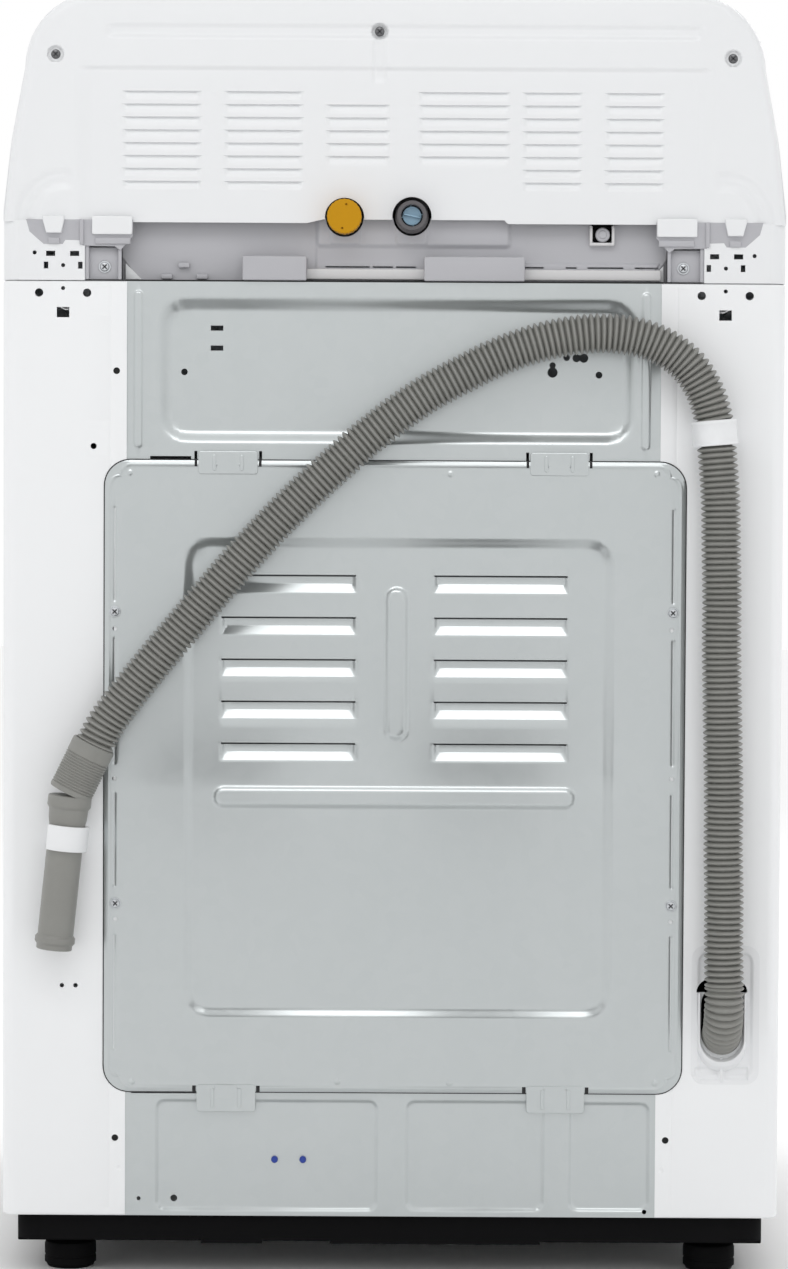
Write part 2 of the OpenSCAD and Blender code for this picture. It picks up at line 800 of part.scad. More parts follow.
module drain_hose_fittings() {
    // moulded elbow out of the cabinet
    color("#96958f") {
        rod_y([outlet_x, outlet_z], 14.5, [rear_y - 44, rear_y - 16]);
        translate([outlet_x, hose_y - bend_r, outlet_z + bend_r]) rotate([0, 90, 0])
            rotate_extrude(angle = 90) translate([bend_r, 0]) circle(hose_r);
        translate([outlet_x, hose_y, outlet_z + bend_r]) cylinder(h = 8, r = hose_r);
    }
    // cuff, collar and end pipe
    color("#8f908c") {
        along(cuff_from, cuff_to) difference() {
            cylinder(h = norm(cuff_to - cuff_from), r = hose_r + 1.9);
            translate([0, 0, -1]) cylinder(h = norm(cuff_to - cuff_from) + 2, r = hose_r - 0.5);
        }
        along(end_top, end_low) difference() {
            union() {
                cylinder(h = 26, r1 = hose_r + 1.6, r2 = pipe_r);
                cylinder(h = norm(end_low - end_top), r = pipe_r);
            }
            translate([0, 0, 12]) cylinder(h = 200, r = pipe_r - 2.2);
        }
    }
}

module hose_clips() {
    // closed strap near the top of the run
    color("#e4e4e3") translate([-279.5, hose_y, 747]) rotate([0, 5, 0]) difference() {
        union() {
            translate([0, 0, -11]) cylinder(h = 22, r = 20);
            block([-13, 13], [-24, -10], [-8, 8]);
        }
        translate([0, 0, -20]) cylinder(h = 40, r = hose_r);
    }
    // open clip that holds the end pipe
    color("#ececec") along([283.6, 402], end_low) difference() {
        union() {
            translate([0, 0, 0]) cylinder(h = 22, r = 19.5);
            block([-12, 12], [-24, -12], [2, 20]);
        }
        translate([0, 0, -5]) cylinder(h = 40, r = pipe_r);
        block([-9, 9], [5, 30], [-5, 30]);
    }
}

base_frame();
cabinet();
rear_top_brace();
rear_bottom_brace();
rear_cover();
rear_cover_screws();
top_cover();
rear_shelf();
top_cover_screws();
console_housing();
console_rear_cover();
console_screws();
control_panel();
display_window();
control_knob();
power_button();
start_button();
soil_button();
spin_button();
control_board();
lid_frame();
lid_glass();
lid_hinge_pins();
lid_strike();
lid_lock();
dispenser_housing();
detergent_drawer();
hot_inlet_valve();
cold_inlet_valve();
cold_inlet_filter();
hot_inlet_cap();
fill_hose();
cord_gland();
outer_tub();
tub_cover();
wash_basket();
balance_ring();
basket_hub();
spin_shaft();
wash_plate();
wash_plate_shaft();
bearing_housing();
tub_bearings();
tub_seal();
motor_stator();
motor_rotor();
suspension_rods();
suspension_springs();
suspension_hangers();
drain_pump();
pump_impeller();
pump_hoses();
drain_outlet();
drain_hose();
drain_hose_fittings();
hose_clips();
foot_front_left();
foot_front_right();
foot_rear_left();
foot_rear_right();
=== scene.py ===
"""Looks of a top load washing machine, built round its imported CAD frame.

Places and sizes are in millimetres in the CAD frame and become metres when a piece is made.
+Z is up, the front faces -Y and the rear face, with the hose and the inlets, faces +Y.
"""
import json
import math

import bmesh
import bpy
from mathutils import Matrix, Vector


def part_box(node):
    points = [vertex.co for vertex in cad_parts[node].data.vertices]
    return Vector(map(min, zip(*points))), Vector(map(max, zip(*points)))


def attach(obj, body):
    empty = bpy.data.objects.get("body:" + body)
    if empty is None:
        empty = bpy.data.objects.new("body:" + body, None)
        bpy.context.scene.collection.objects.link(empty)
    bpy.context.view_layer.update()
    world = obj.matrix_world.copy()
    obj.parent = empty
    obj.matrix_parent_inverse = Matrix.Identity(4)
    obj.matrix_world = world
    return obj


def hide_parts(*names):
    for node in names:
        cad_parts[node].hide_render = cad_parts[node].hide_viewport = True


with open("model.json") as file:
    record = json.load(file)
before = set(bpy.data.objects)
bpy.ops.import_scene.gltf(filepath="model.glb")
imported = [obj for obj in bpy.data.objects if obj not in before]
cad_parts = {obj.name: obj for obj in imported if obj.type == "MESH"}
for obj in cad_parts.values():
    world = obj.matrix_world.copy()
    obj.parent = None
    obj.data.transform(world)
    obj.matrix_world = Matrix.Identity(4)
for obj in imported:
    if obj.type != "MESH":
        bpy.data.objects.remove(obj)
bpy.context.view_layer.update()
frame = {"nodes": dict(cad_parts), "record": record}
MM = 0.001


def cad(node, corner, axis):
    """One coordinate of a CAD node's box, in millimetres; corner 0 is the lowest, 1 the highest."""
    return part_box(node)[corner][axis] / MM


REAR = cad("cabinet", 1, 1)              # rear plane of the cabinet
FRONT = cad("cabinet", 0, 1)
HALF_W = cad("cabinet", 1, 0)
SKIRT = cad("cabinet", 0, 2)             # underside of the cabinet wrap
SEAM = cad("cabinet", 1, 2)              # seam between cabinet and top cover
TOP = cad("console_housing", 1, 2)
HOSE_R = 17.5
HOSE_Y = cad("drain_hose", 0, 1) + HOSE_R  # plane that the drain hose lies in
DRUM_Y = -12.0

# ------------------------------------------------------------------ camera, light and floor


def in_scene(name, data):
    """A new object for the data, linked to the scene."""
    made = bpy.data.objects.new(name, data)
    bpy.context.scene.collection.objects.link(made)
    return made


def studio_camera():
    """A long lens behind the machine, level with its upper half and tipped slightly down."""
    distance, aim_x, aim_z = 3500.0, -1.2, 569.0
    pitch, roll = math.radians(2.395), math.radians(0.30)
    ahead = Vector((0, -math.cos(pitch), -math.sin(pitch)))
    above = Vector((0, -math.sin(pitch), math.cos(pitch)))
    right = ahead.cross(above)
    tipped_right = right * math.cos(roll) + above * math.sin(roll)
    tipped_above = above * math.cos(roll) - right * math.sin(roll)
    data = bpy.data.cameras.new("camera")
    data.lens = 113.04
    data.sensor_width = 36
    data.clip_end = 50
    camera = in_scene("camera", data)
    place = (Vector((aim_x, REAR, aim_z)) - ahead * distance) * MM
    turn = Matrix((tipped_right, tipped_above, -ahead)).transposed().to_4x4()
    camera.matrix_world = Matrix.Translation(place) @ turn
    bpy.context.scene.camera = camera


def area_light(name, place, aim, size, power):
    """A rectangular lamp at a place in metres, turned towards a point."""
    data = bpy.data.lights.new(name, "AREA")
    data.shape = "RECTANGLE"
    data.size, data.size_y = size
    data.energy = power
    look = (Vector(aim) - Vector(place)).to_track_quat("-Z", "Y")
    turn = Matrix.Translation(place) @ look.to_matrix().to_4x4()
    in_scene(name, data).matrix_world = turn


def flag_card(name, size, place, material):
    """A dark card that the camera does not see, for the darker bands in pale surfaces."""
    mesh = bpy.data.meshes.new(name)
    bm = bmesh.new()
    bmesh.ops.create_cube(bm, size=1)
    bmesh.ops.scale(bm, vec=size, verts=bm.verts)
    bmesh.ops.translate(bm, vec=place, verts=bm.verts)
    bm.to_mesh(mesh)
    bm.free()
    card = in_scene(name, mesh)
    card.data.materials.append(FINISH[material])
    card.visible_camera = False
    card.visible_shadow = False
    return card


def studio():
    world = bpy.data.worlds.new("studio")
    bpy.context.scene.world = world
    world.use_nodes = True
    world.node_tree.nodes["Background"].inputs["Color"].default_value = (1, 1, 1, 1)
    world.node_tree.nodes["Background"].inputs["Strength"].default_value = 1.0
    bpy.context.scene.view_settings.view_transform = "Standard"
    area_light("rear_key", (0.2, 1.75, 2.3), (0, 0.3, 0.5), (2.2, 0.7), 12.5)
    area_light("front_key", (-1.6, -3.2, 2.4), (0, 0, 0.6), (1.6, 1.6), 16)
    for wide, across in ((0.12, 0.168), (0.115, -0.086)):
        card = flag_card("dark_card", (wide, 0.46, 0.006), (across, 0.64, 0.43), "shadow")
        card.visible_diffuse = False
    card = flag_card("overhead_card", (3.2, 2.0, 0.02), (0, 1.5, 2.6), "overhead_grey")
    card.visible_glossy = False
    area_light("drum_light", (0, -0.5, 3.0), (0, -0.05, 0.9), (0.9, 0.9), 9)
    mesh = bpy.data.meshes.new("studio_floor")
    bm = bmesh.new()
    bmesh.ops.create_grid(bm, x_segments=1, y_segments=1, size=12)
    bm.to_mesh(mesh)
    bm.free()
    floor = in_scene("studio_floor", mesh)
    floor.data.materials.append(FINISH["studio_floor"])


# ------------------------------------------------------------------ materials


class Term:
    """A shader socket that takes Python's arithmetic; every operation adds a Math node."""

    def __init__(self, finish, socket):
        self.finish, self.socket = finish, socket

    def _math(self, operation, a, b):
        return self.finish.node("ShaderNodeMath", {"operation": operation}, {0: a, 1: b})

    def __add__(self, other):
        return self._math("ADD", self, other)

    def __sub__(self, other):
        return self._math("SUBTRACT", self, other)

    def __rsub__(self, other):
        return self._math("SUBTRACT", other, self)

    def __mul__(self, other):
        return self._math("MULTIPLY", self, other)

    def __gt__(self, other):
        return self._math("GREATER_THAN", self, other)

    __radd__ = __add__
    __rmul__ = __mul__


class Finish:
    """One node material under construction, on a Principled shader."""

    def __init__(self, name, **constants):
        self.material = bpy.data.materials.new(name)
        self.material.use_nodes = True
        self.tree = self.material.node_tree
        self.shader = self.tree.nodes["Principled BSDF"]
        for socket, value in constants.items():
            self.shader.inputs[socket.replace("_", " ")].default_value = value
        self.place = self.node("ShaderNodeTexCoord", output="Object")

    def node(self, kind, settings=None, sockets=None, output=0):
        made = self.tree.nodes.new(kind)
        for key, value in (settings or {}).items():
            setattr(made, key, value)
        for key, value in (sockets or {}).items():
            if isinstance(value, Term):
                self.tree.links.new(value.socket, made.inputs[key])
            else:
                made.inputs[key].default_value = value
        return Term(self, made.outputs[output])

    def noise(self, scale, detail=3.0, roughness=0.5, vector=None):
        sockets = {"Vector": vector or self.place, "Scale": scale, "Detail": detail,
                   "Roughness": roughness}
        return self.node("ShaderNodeTexNoise", None, sockets, "Fac")

    def stretched(self, scale):
        """Object coordinates stretched by a factor on each axis."""
        return self.node("ShaderNodeMapping", None, {"Vector": self.place, "Scale": scale})

    def blend(self, factor, low, high):
        """A colour between two colours."""
        made = self.tree.nodes.new("ShaderNodeMix")
        made.data_type = "RGBA"
        self.tree.links.new(factor.socket, made.inputs["Factor"])
        for key, value in ((6, low), (7, high)):
            if isinstance(value, Term):
                self.tree.links.new(value.socket, made.inputs[key])
            else:
                made.inputs[key].default_value = (*value, 1)
        return Term(self, made.outputs[2])

    def bump(self, height, depth, strength=1.0):
        sockets = {"Height": height, "Distance": depth * MM, "Strength": strength}
        return self.node("ShaderNodeBump", None, sockets, "Normal")

    def feed(self, **links):
        for socket, value in links.items():
            self.tree.links.new(value.socket, self.shader.inputs[socket.replace("_", " ")])
        return self.material


def shade(colour, factor):
    return tuple(min(1.0, c * factor) for c in colour)


def paint(name, colour, roughness, peel=0.03, coat=0.25):
    """Powder coat or gloss moulding: faint mottling and a fine orange peel."""
    f = Finish(name, Coat_Weight=coat, Coat_Roughness=0.12)
    cloud = f.noise(3.0, 2.0)
    wear = f.noise(40.0, 4.0, 0.6)
    tone = f.blend(cloud, shade(colour, 0.985), shade(colour, 1.012))
    rough = wear * 0.08 + (roughness - 0.04)
    if not peel:
        return f.feed(Base_Color=tone, Roughness=rough)
    grain = f.noise(1100.0, 1.0)
    return f.feed(Base_Color=tone, Roughness=rough, Normal=f.bump(grain, peel, 0.35))


def moulded(name, colour, roughness, texture=0.05, spread=0.06, shine=0.4):
    """Matt moulded plastic with a spark-eroded texture and slight scuffs."""
    f = Finish(name, Specular_IOR_Level=shine)
    cloud = f.noise(6.0, 3.0)
    scuff = f.noise(120.0, 5.0, 0.7)
    tone = f.blend(cloud, shade(colour, 1 - spread), shade(colour, 1 + spread))
    grain = f.noise(1500.0, 2.0)
    return f.feed(Base_Color=tone, Roughness=scuff * 0.14 + (roughness - 0.07),
                  Normal=f.bump(grain, texture, 0.4))


def galvanised(name):
    """Zinc coated sheet: pale grey-green, faint spangle and rolling streaks."""
    f = Finish(name, Metallic=0.72, Specular_IOR_Level=0.5)
    spangle = f.node("ShaderNodeTexVoronoi", {"feature": "F1"},
                     {"Vector": f.place, "Scale": 95.0, "Randomness": 1.0}, "Color")
    cell = f.node("ShaderNodeSeparateColor", None, {"Color": spangle}, "Red")
    streak = f.noise(14.0, 3.0, 0.55, f.stretched((1.0, 1.0, 0.06)))
    cloud = f.noise(4.0, 2.0)
    mix = cell * 0.16 + streak * 0.42 + cloud * 0.42
    tone = f.blend(mix, (0.503, 0.539, 0.543), (0.573, 0.600, 0.604))
    rough = cell * 0.025 + streak * 0.04 + 0.265
    fine = f.noise(420.0, 2.0, 0.5, f.stretched((1.0, 1.0, 0.15)))
    return f.feed(Base_Color=tone, Roughness=rough, Normal=f.bump(fine, 0.02, 0.25))


def plated(name, colour, roughness, brush=(1.0, 1.0, 1.0)):
    """Bare or plated metal with fine brushing."""
    f = Finish(name, Metallic=1.0)
    line = f.noise(260.0, 3.0, 0.6, f.stretched(brush))
    cloud = f.noise(9.0, 3.0)
    tone = f.blend(cloud, shade(colour, 0.9), shade(colour, 1.06))
    return f.feed(Base_Color=tone, Roughness=line * 0.12 + (roughness - 0.05),
                  Normal=f.bump(line, 0.02, 0.2))


def hose_plastic(name):
    """Warm grey blow-moulded plastic, with faint patches of dust."""
    f = Finish(name, Specular_IOR_Level=0.45)
    cloud = f.noise(11.0, 3.0)
    dust = f.noise(90.0, 5.0, 0.65)
    tone = f.blend(cloud * 0.6 + dust * 0.4, (0.212, 0.212, 0.197), (0.280, 0.279, 0.261))
    return f.feed(Base_Color=tone, Roughness=dust * 0.16 + 0.34,
                  Normal=f.bump(f.noise(900.0, 2.0), 0.03, 0.3))


def smoked_glass(name):
    f = Finish(name, Transmission_Weight=0.9, IOR=1.48, Coat_Weight=0.0)
    smear = f.noise(7.0, 4.0, 0.6)
    tone = f.blend(smear, (0.20, 0.22, 0.235), (0.24, 0.26, 0.275))
    return f.feed(Base_Color=tone, Roughness=smear * 0.03 + 0.015)


def circuit(name):
    """Solder mask with copper tracks."""
    f = Finish(name, Specular_IOR_Level=0.6)
    cell = f.node("ShaderNodeTexBrick", None, {"Vector": f.place, "Scale": 60.0,
                  "Mortar Size": 0.04}, "Fac")
    tone = f.blend(cell, (0.02, 0.12, 0.05), (0.05, 0.22, 0.09))
    return f.feed(Base_Color=tone, Roughness=f.noise(50.0) * 0.1 + 0.35)


def display_glow(name):
    """Lit figures of the display, a little uneven across a bar."""
    f = Finish(name, Emission_Strength=1.2)
    cloud = f.noise(300.0, 2.0)
    tone = f.blend(cloud, (0.55, 0.80, 0.85), (0.70, 0.92, 0.95))
    return f.feed(Base_Color=tone, Emission_Color=tone, Roughness=cloud * 0.1 + 0.4)


def make_materials():
    return {
        "white_steel": paint("white_steel", (0.855, 0.865, 0.875), 0.36),
        "white_plastic": paint("white_plastic", (0.800, 0.810, 0.822), 0.40, 0.02, 0.15),
        "grey_plastic": moulded("grey_plastic", (0.455, 0.455, 0.480), 0.46),
        "galvanised_steel": galvanised("galvanised_steel"),
        "black_plastic": moulded("black_plastic", (0.004, 0.004, 0.0044), 0.75, 0.05, 0.06, 0.08),
        "smoked_glass": smoked_glass("smoked_glass"),
        "panel_gloss": paint("panel_gloss", (0.018, 0.019, 0.022), 0.18, 0.0, 0.6),
        "silver_trim": paint("silver_trim", (0.56, 0.57, 0.59), 0.30, 0.01, 0.4),
        "hose_plastic": hose_plastic("hose_plastic"),
        "dark_rubber": moulded("dark_rubber", (0.022, 0.022, 0.024), 0.62),
        "stainless_steel": plated("stainless_steel", (0.76, 0.77, 0.78), 0.32, (0.08, 0.08, 1)),
        "zinc_steel": plated("zinc_steel", (0.62, 0.64, 0.66), 0.30),
        "amber_plastic": moulded("amber_plastic", (0.52, 0.255, 0.004), 0.5, 0.05, 0.1, 0.15),
        "filter_plastic": moulded("filter_plastic", (0.27, 0.42, 0.54), 0.40, 0.12, 0.1),
        "dark_plastic": moulded("dark_plastic", (0.075, 0.075, 0.082), 0.45),
        "tub_plastic": moulded("tub_plastic", (0.60, 0.63, 0.65), 0.42),
        "plate_plastic": paint("plate_plastic", (0.50, 0.56, 0.60), 0.28, 0.02, 0.3),
        "board": circuit("board"),
        "winding": plated("winding", (0.62, 0.30, 0.14), 0.36),
        "cast_aluminium": plated("cast_aluminium", (0.52, 0.53, 0.54), 0.45),
        "strip_plastic": moulded("strip_plastic", (0.66, 0.655, 0.66), 0.42),
        "screw_dark": plated("screw_dark", (0.16, 0.16, 0.165), 0.34),
        "display_black": paint("display_black", (0.006, 0.006, 0.008), 0.10, 0.0, 0.3),
        "mark_white": moulded("mark_white", (0.74, 0.75, 0.76), 0.45, 0.01),
        "display_glow": display_glow("display_glow"),
        "valve_grey": moulded("valve_grey", (0.105, 0.10, 0.105), 0.42),
        "overhead_grey": moulded("overhead_grey", (0.06, 0.06, 0.062), 0.8, 0.0),
        "shadow": moulded("shadow", (0.004, 0.004, 0.0045), 0.7, 0.0),
        "studio_floor": paint("studio_floor", (0.93, 0.93, 0.93), 0.6, 0, 0.0),
        "pin_blue": moulded("pin_blue", (0.02, 0.05, 0.30), 0.4),
    }


# ------------------------------------------------------------------ shapes that repeat


def ease(t):
    t = min(max(t, 0.0), 1.0)
    return t * t * (3 - 2 * t)


def finish_mesh(bm, sharp=35.0, broad=1e9):
    """Smooth faces, with crisp edges over the sharp angle and broad flat faces kept flat."""
    limit = math.radians(sharp)
    for face in bm.faces:
        face.smooth = len(face.verts) <= 4 and face.calc_area() < broad
    for edge in bm.edges:
        edge.smooth = not edge.is_manifold or edge.calc_face_angle(0.0) < limit


def piece(name, bm, material, body="machine", replaces=(), sharp=35.0, broad=1e9):
    """Turns a bmesh in millimetres into a finished piece that rides on a body."""
    finish_mesh(bm, sharp, broad)
    bmesh.ops.scale(bm, vec=(MM, MM, MM), verts=bm.verts)
    mesh = bpy.data.meshes.new(name)
    bm.to_mesh(mesh)
    bm.free()
    made = in_scene(name, mesh)
    made.data.materials.append(FINISH[material])
    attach(made, body)
    if replaces:
        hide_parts(*replaces)
    return made


def bevel(bm, edges, width, segments=3):
    bmesh.ops.bevel(bm, geom=list(edges), offset=width, offset_type="OFFSET", segments=segments,
                    profile=0.5, affect="EDGES", clamp_overlap=True, material=-1)


def crisp_edges(bm, angle=30.0):
    limit = math.radians(angle)
    return [e for e in bm.edges if e.is_manifold and e.calc_face_angle(0.0) > limit]


def add_box(bm, x, y, z, round_by=0.0, segments=2, turn=None):
    """A box between two values on each axis, with bevelled edges, then placed by a matrix."""
    part = bmesh.new()
    bmesh.ops.create_cube(part, size=1)
    size = (x[1] - x[0], y[1] - y[0], z[1] - z[0])
    middle = ((x[0] + x[1]) / 2, (y[0] + y[1]) / 2, (z[0] + z[1]) / 2)
    bmesh.ops.scale(part, vec=size, verts=part.verts)
    bmesh.ops.translate(part, vec=middle, verts=part.verts)
    if round_by:
        bevel(part, part.edges, round_by, segments)
    merge_into(bm, part, turn)


def merge_into(bm, part, turn=None):
    """Adds a part, turned and moved by a matrix, to a bmesh; a mirrored part stays outward."""
    if turn is not None:
        bmesh.ops.transform(part, matrix=turn, verts=part.verts)
        if turn.determinant() < 0:
            bmesh.ops.reverse_faces(part, faces=part.faces)
    mesh = bpy.data.meshes.new("part")
    part.to_mesh(mesh)
    part.free()
    bm.from_mesh(mesh)
    bpy.data.meshes.remove(mesh)


def rounded_outline(x, z, r, steps=6):
    """Corner points of a rectangle with round corners, counter-clockwise."""
    found = []
    for cx, cz, start in ((x[1] - r, z[1] - r, 0), (x[0] + r, z[1] - r, 90),
                          (x[0] + r, z[0] + r, 180), (x[1] - r, z[0] + r, 270)):
        for i in range(steps + 1):
            a = math.radians(start + 90 * i / steps)
            found.append((cx + r * math.cos(a), cz + r * math.sin(a)))
    return found


def add_outline(bm, outline, depth, edge=0.0, turn=None, segments=2):
    """A flat outline made solid along its own Z, its rim edges bevelled, then placed."""
    part = bmesh.new()
    base = part.faces.new([part.verts.new((a, b, depth[0])) for a, b in outline])
    top = bmesh.ops.extrude_face_region(part, geom=[base])
    moved = [v for v in top["geom"] if isinstance(v, bmesh.types.BMVert)]
    bmesh.ops.translate(part, vec=(0, 0, depth[1] - depth[0]), verts=moved)
    bmesh.ops.recalc_face_normals(part, faces=part.faces)
    if edge:
        rims = [e for e in part.edges
                if abs(e.verts[0].co.z - e.verts[1].co.z) < 1e-6 and e.calc_face_angle(0) > 0.5]
        bevel(part, rims, edge, segments)
    merge_into(bm, part, turn)


def facing_rear(y):
    """The matrix that makes an outline in X and Z solid along +Y, from a given Y."""
    return Matrix.Translation((0, y, 0)) @ Matrix(((1, 0, 0, 0), (0, 0, 1, 0), (0, 1, 0, 0),
                                                   (0, 0, 0, 1)))


def add_turned(bm, profile, turn, steps=32):
    """A profile of (radius, height) points spun about its own Z and placed by a matrix."""
    part = bmesh.new()
    verts = [part.verts.new((r, 0, h)) for r, h in profile]
    edges = [part.edges.new(pair) for pair in zip(verts, verts[1:])]
    bmesh.ops.spin(part, geom=verts + edges, cent=(0, 0, 0), axis=(0, 0, 1),
                   angle=math.tau, steps=steps, use_merge=True, use_duplicate=False)
    bmesh.ops.remove_doubles(part, verts=part.verts, dist=1e-4)
    bmesh.ops.recalc_face_normals(part, faces=part.faces)
    merge_into(bm, part, turn)


def pointing(start, end):
    """The matrix that puts a part's own origin at start and its Z towards end."""
    start, end = Vector(start), Vector(end)
    return Matrix.Translation(start) @ (end - start).to_track_quat("Z", "Y").to_matrix().to_4x4()


def rear_axis(at, y):
    """The matrix that puts a part's own origin in the rear face and its Z along +Y."""
    return pointing((at[0], y, at[1]), (at[0], y + 1, at[1]))


def subtract(made, tool, crossing):
    """Takes one object's solid out of another and bakes the result."""
    change = made.modifiers.new("cut", "BOOLEAN")
    change.operation = "DIFFERENCE"
    change.solver = "EXACT"
    change.use_self = crossing
    change.object = tool
    apply_modifiers(made)


def cut(made, cutter, crossing=False):
    """Takes the cutter's solids, a bmesh in millimetres, out of a piece."""
    bmesh.ops.scale(cutter, vec=(MM, MM, MM), verts=cutter.verts)
    mesh = bpy.data.meshes.new("cutter")
    cutter.to_mesh(mesh)
    cutter.free()
    tool = in_scene("cutter", mesh)
    subtract(made, tool, crossing)
    bpy.data.objects.remove(tool)
    bm = bmesh.new()
    bm.from_mesh(made.data)
    finish_mesh(bm)
    bm.to_mesh(made.data)
    bm.free()


def apply_modifiers(made):
    """Bakes a piece's modifiers into its mesh."""
    graph = bpy.context.evaluated_depsgraph_get()
    graph.update()
    mesh = bpy.data.meshes.new_from_object(made.evaluated_get(graph), depsgraph=graph)
    made.modifiers.clear()
    old = made.data
    made.data = mesh
    bpy.data.meshes.remove(old)


def add_drill(bm, at, y, radius, depth, segments=40):
    """A round cutter along Y, with its middle at a place in X and Z and at a given Y."""
    part = bmesh.new()
    bmesh.ops.create_cone(part, cap_ends=True, segments=segments, radius1=radius,
                          radius2=radius, depth=depth)
    merge_into(bm, part, rear_axis(at, y))


def holes(rounds, slots=(), depth=8.0):
    """Cutters through the rear face: rounds are (x, z, radius), slots are (x, z, width, height)."""
    bm = bmesh.new()
    for x, z, r in rounds:
        add_drill(bm, (x, z), REAR, r, 2 * depth, 24)
    for x, z, w, h in slots:
        add_box(bm, (x - w / 2, x + w / 2), (REAR - depth, REAR + depth),
                (z - h / 2, z + h / 2))
    return bm


def scalloped(centre, radius, wave, scallops, steps):
    """A round outline whose radius swells a set number of times."""
    found = []
    for k in range(steps):
        a = math.tau * k / steps
        r = radius + wave * math.cos(scallops * a)
        found.append((centre[0] + r * math.cos(a), centre[1] + r * math.sin(a)))
    return found


def flat_ring(name, material, body, turn, outside, inside, depth, edge, clear):
    """A flat ring between two rounded outlines, such as a trim line."""
    bm = bmesh.new()
    add_outline(bm, rounded_outline(*outside), depth, edge, turn)
    ring = piece(name, bm, material, body, sharp=30)
    cutter = bmesh.new()
    add_outline(cutter, rounded_outline(*inside), clear, 0.0, turn)
    cut(ring, cutter)


# ------------------------------------------------------------------ pressed sheets


class Press:
    """One pressed feature: a rounded rectangle whose floor is raised or sunk by depth.

    A field fills its outline and eases in over width; a line follows only the outline.
    """

    def __init__(self, x, z, r, depth, width, line=False):
        self.x, self.z, self.r = x, z, r
        self.depth, self.width, self.line = depth, width, line

    def distance(self, x, z):
        dx = abs(x - (self.x[0] + self.x[1]) / 2) - (self.x[1] - self.x[0]) / 2 + self.r
        dz = abs(z - (self.z[0] + self.z[1]) / 2) - (self.z[1] - self.z[0]) / 2 + self.r
        return math.hypot(max(dx, 0), max(dz, 0)) + min(max(dx, dz), 0) - self.r

    def height(self, x, z):
        reach = 3 * self.width if self.line else 0
        if not (self.x[0] - reach <= x <= self.x[1] + reach):
            return 0.0
        if not (self.z[0] - reach <= z <= self.z[1] + reach):
            return 0.0
        d = self.distance(x, z)
        if self.line:
            return self.depth * math.exp(-((d / self.width) ** 2))
        return self.depth * ease(-d / self.width)

    def marks(self, axis):
        """Grid lines that the feature needs on one axis, as (place, spacing, reach) rows."""
        low, high = (self.x, self.z)[axis]
        w = self.width
        if self.line:
            rows = [(low, w / 1.6, 2.2 * w), (high, w / 1.6, 2.2 * w)]
        else:
            rows = [(low + w / 2, w / 5, 0.6 * w), (high - w / 2, w / 5, 0.6 * w)]
        if self.r > w:
            rows += [(low + self.r / 2, self.r / 5, self.r / 2)]
            rows += [(high - self.r / 2, self.r / 5, self.r / 2)]
        return rows


def grid_lines(low, high, coarse, marks, exact=()):
    """Places of the grid's lines on one axis: even, closer round the marks, exact where asked."""
    found = [low + (high - low) * i / round((high - low) / coarse)
             for i in range(round((high - low) / coarse) + 1)]
    for place, spacing, reach in marks:
        steps = max(1, round(reach / spacing))
        found += [place + reach * k / steps for k in range(-steps, steps + 1)]
    firm = sorted(v for v in exact if low < v < high)
    kept = []
    for value in sorted(v for v in found if low < v < high):
        near = any(abs(value - v) < 0.5 for v in firm)
        if not near and (not kept or value - kept[-1] > 0.55) and high - value > 0.4:
            kept.append(value)
    return sorted([low, high] + firm + kept)


def pressed_sheet(xs, zs, place, gone=lambda x, z: False):
    """A grid whose corner (x, z) goes to place(x, z), a point; cells that are gone are cut out."""
    bm = bmesh.new()
    nx, nz = len(xs) - 1, len(zs) - 1
    bmesh.ops.create_grid(bm, x_segments=nx, y_segments=nz, size=0.5)
    for face in list(bm.faces):
        middle = face.calc_center_median()
        i, k = int((middle.x + 0.5) * nx), int((middle.y + 0.5) * nz)
        if gone((xs[i] + xs[i + 1]) / 2, (zs[k] + zs[k + 1]) / 2):
            bm.faces.remove(face)
    for vert in bm.verts:
        x, z = xs[round((vert.co.x + 0.5) * nx)], zs[round((vert.co.y + 0.5) * nz)]
        vert.co = place(x, z)
    bmesh.ops.delete(bm, geom=[v for v in bm.verts if not v.link_faces], context="VERTS")
    return bm


def thicken(bm, thickness, outward=lambda face: Vector((0, 1, 0))):
    """Turns an open sheet's faces outwards and gives it a wall on its inner side."""
    bmesh.ops.recalc_face_normals(bm, faces=bm.faces)
    if sum(f.normal.dot(outward(f)) * f.calc_area() for f in bm.faces) < 0:
        bmesh.ops.reverse_faces(bm, faces=bm.faces)
    bmesh.ops.solidify(bm, geom=bm.faces[:], thickness=thickness)


def on_round_corner(x, z, across, up, corner):
    """Slides a grid corner on to a sheet's corner arc; also gives its distance from the edge."""
    cx, cz = (across[0] + across[1]) / 2, (up[0] + up[1]) / 2
    hx, hz = (across[1] - across[0]) / 2, (up[1] - up[0]) / 2
    dx, dz = abs(x - cx), abs(z - cz)
    ox, oz = dx - (hx - corner), dz - (hz - corner)
    if ox > 0 and oz > 0:
        scale = max(ox, oz) / math.hypot(ox, oz)
        dx, dz = hx - corner + ox * scale, hz - corner + oz * scale
        x, z = cx + math.copysign(dx, x - cx), cz + math.copysign(dz, z - cz)
    return x, z, min(hx - dx, hz - dz)


def relief(features, x, z):
    return sum(f.height(x, z) for f in features)


def sheet_grid(x, z, features, coarse=14.0, exact_x=(), exact_z=()):
    marks_x = [m for f in features for m in f.marks(0)]
    marks_z = [m for f in features for m in f.marks(1)]
    return grid_lines(*x, coarse, marks_x, exact_x), grid_lines(*z, coarse, marks_z, exact_z)


# ------------------------------------------------------------------ drain hose

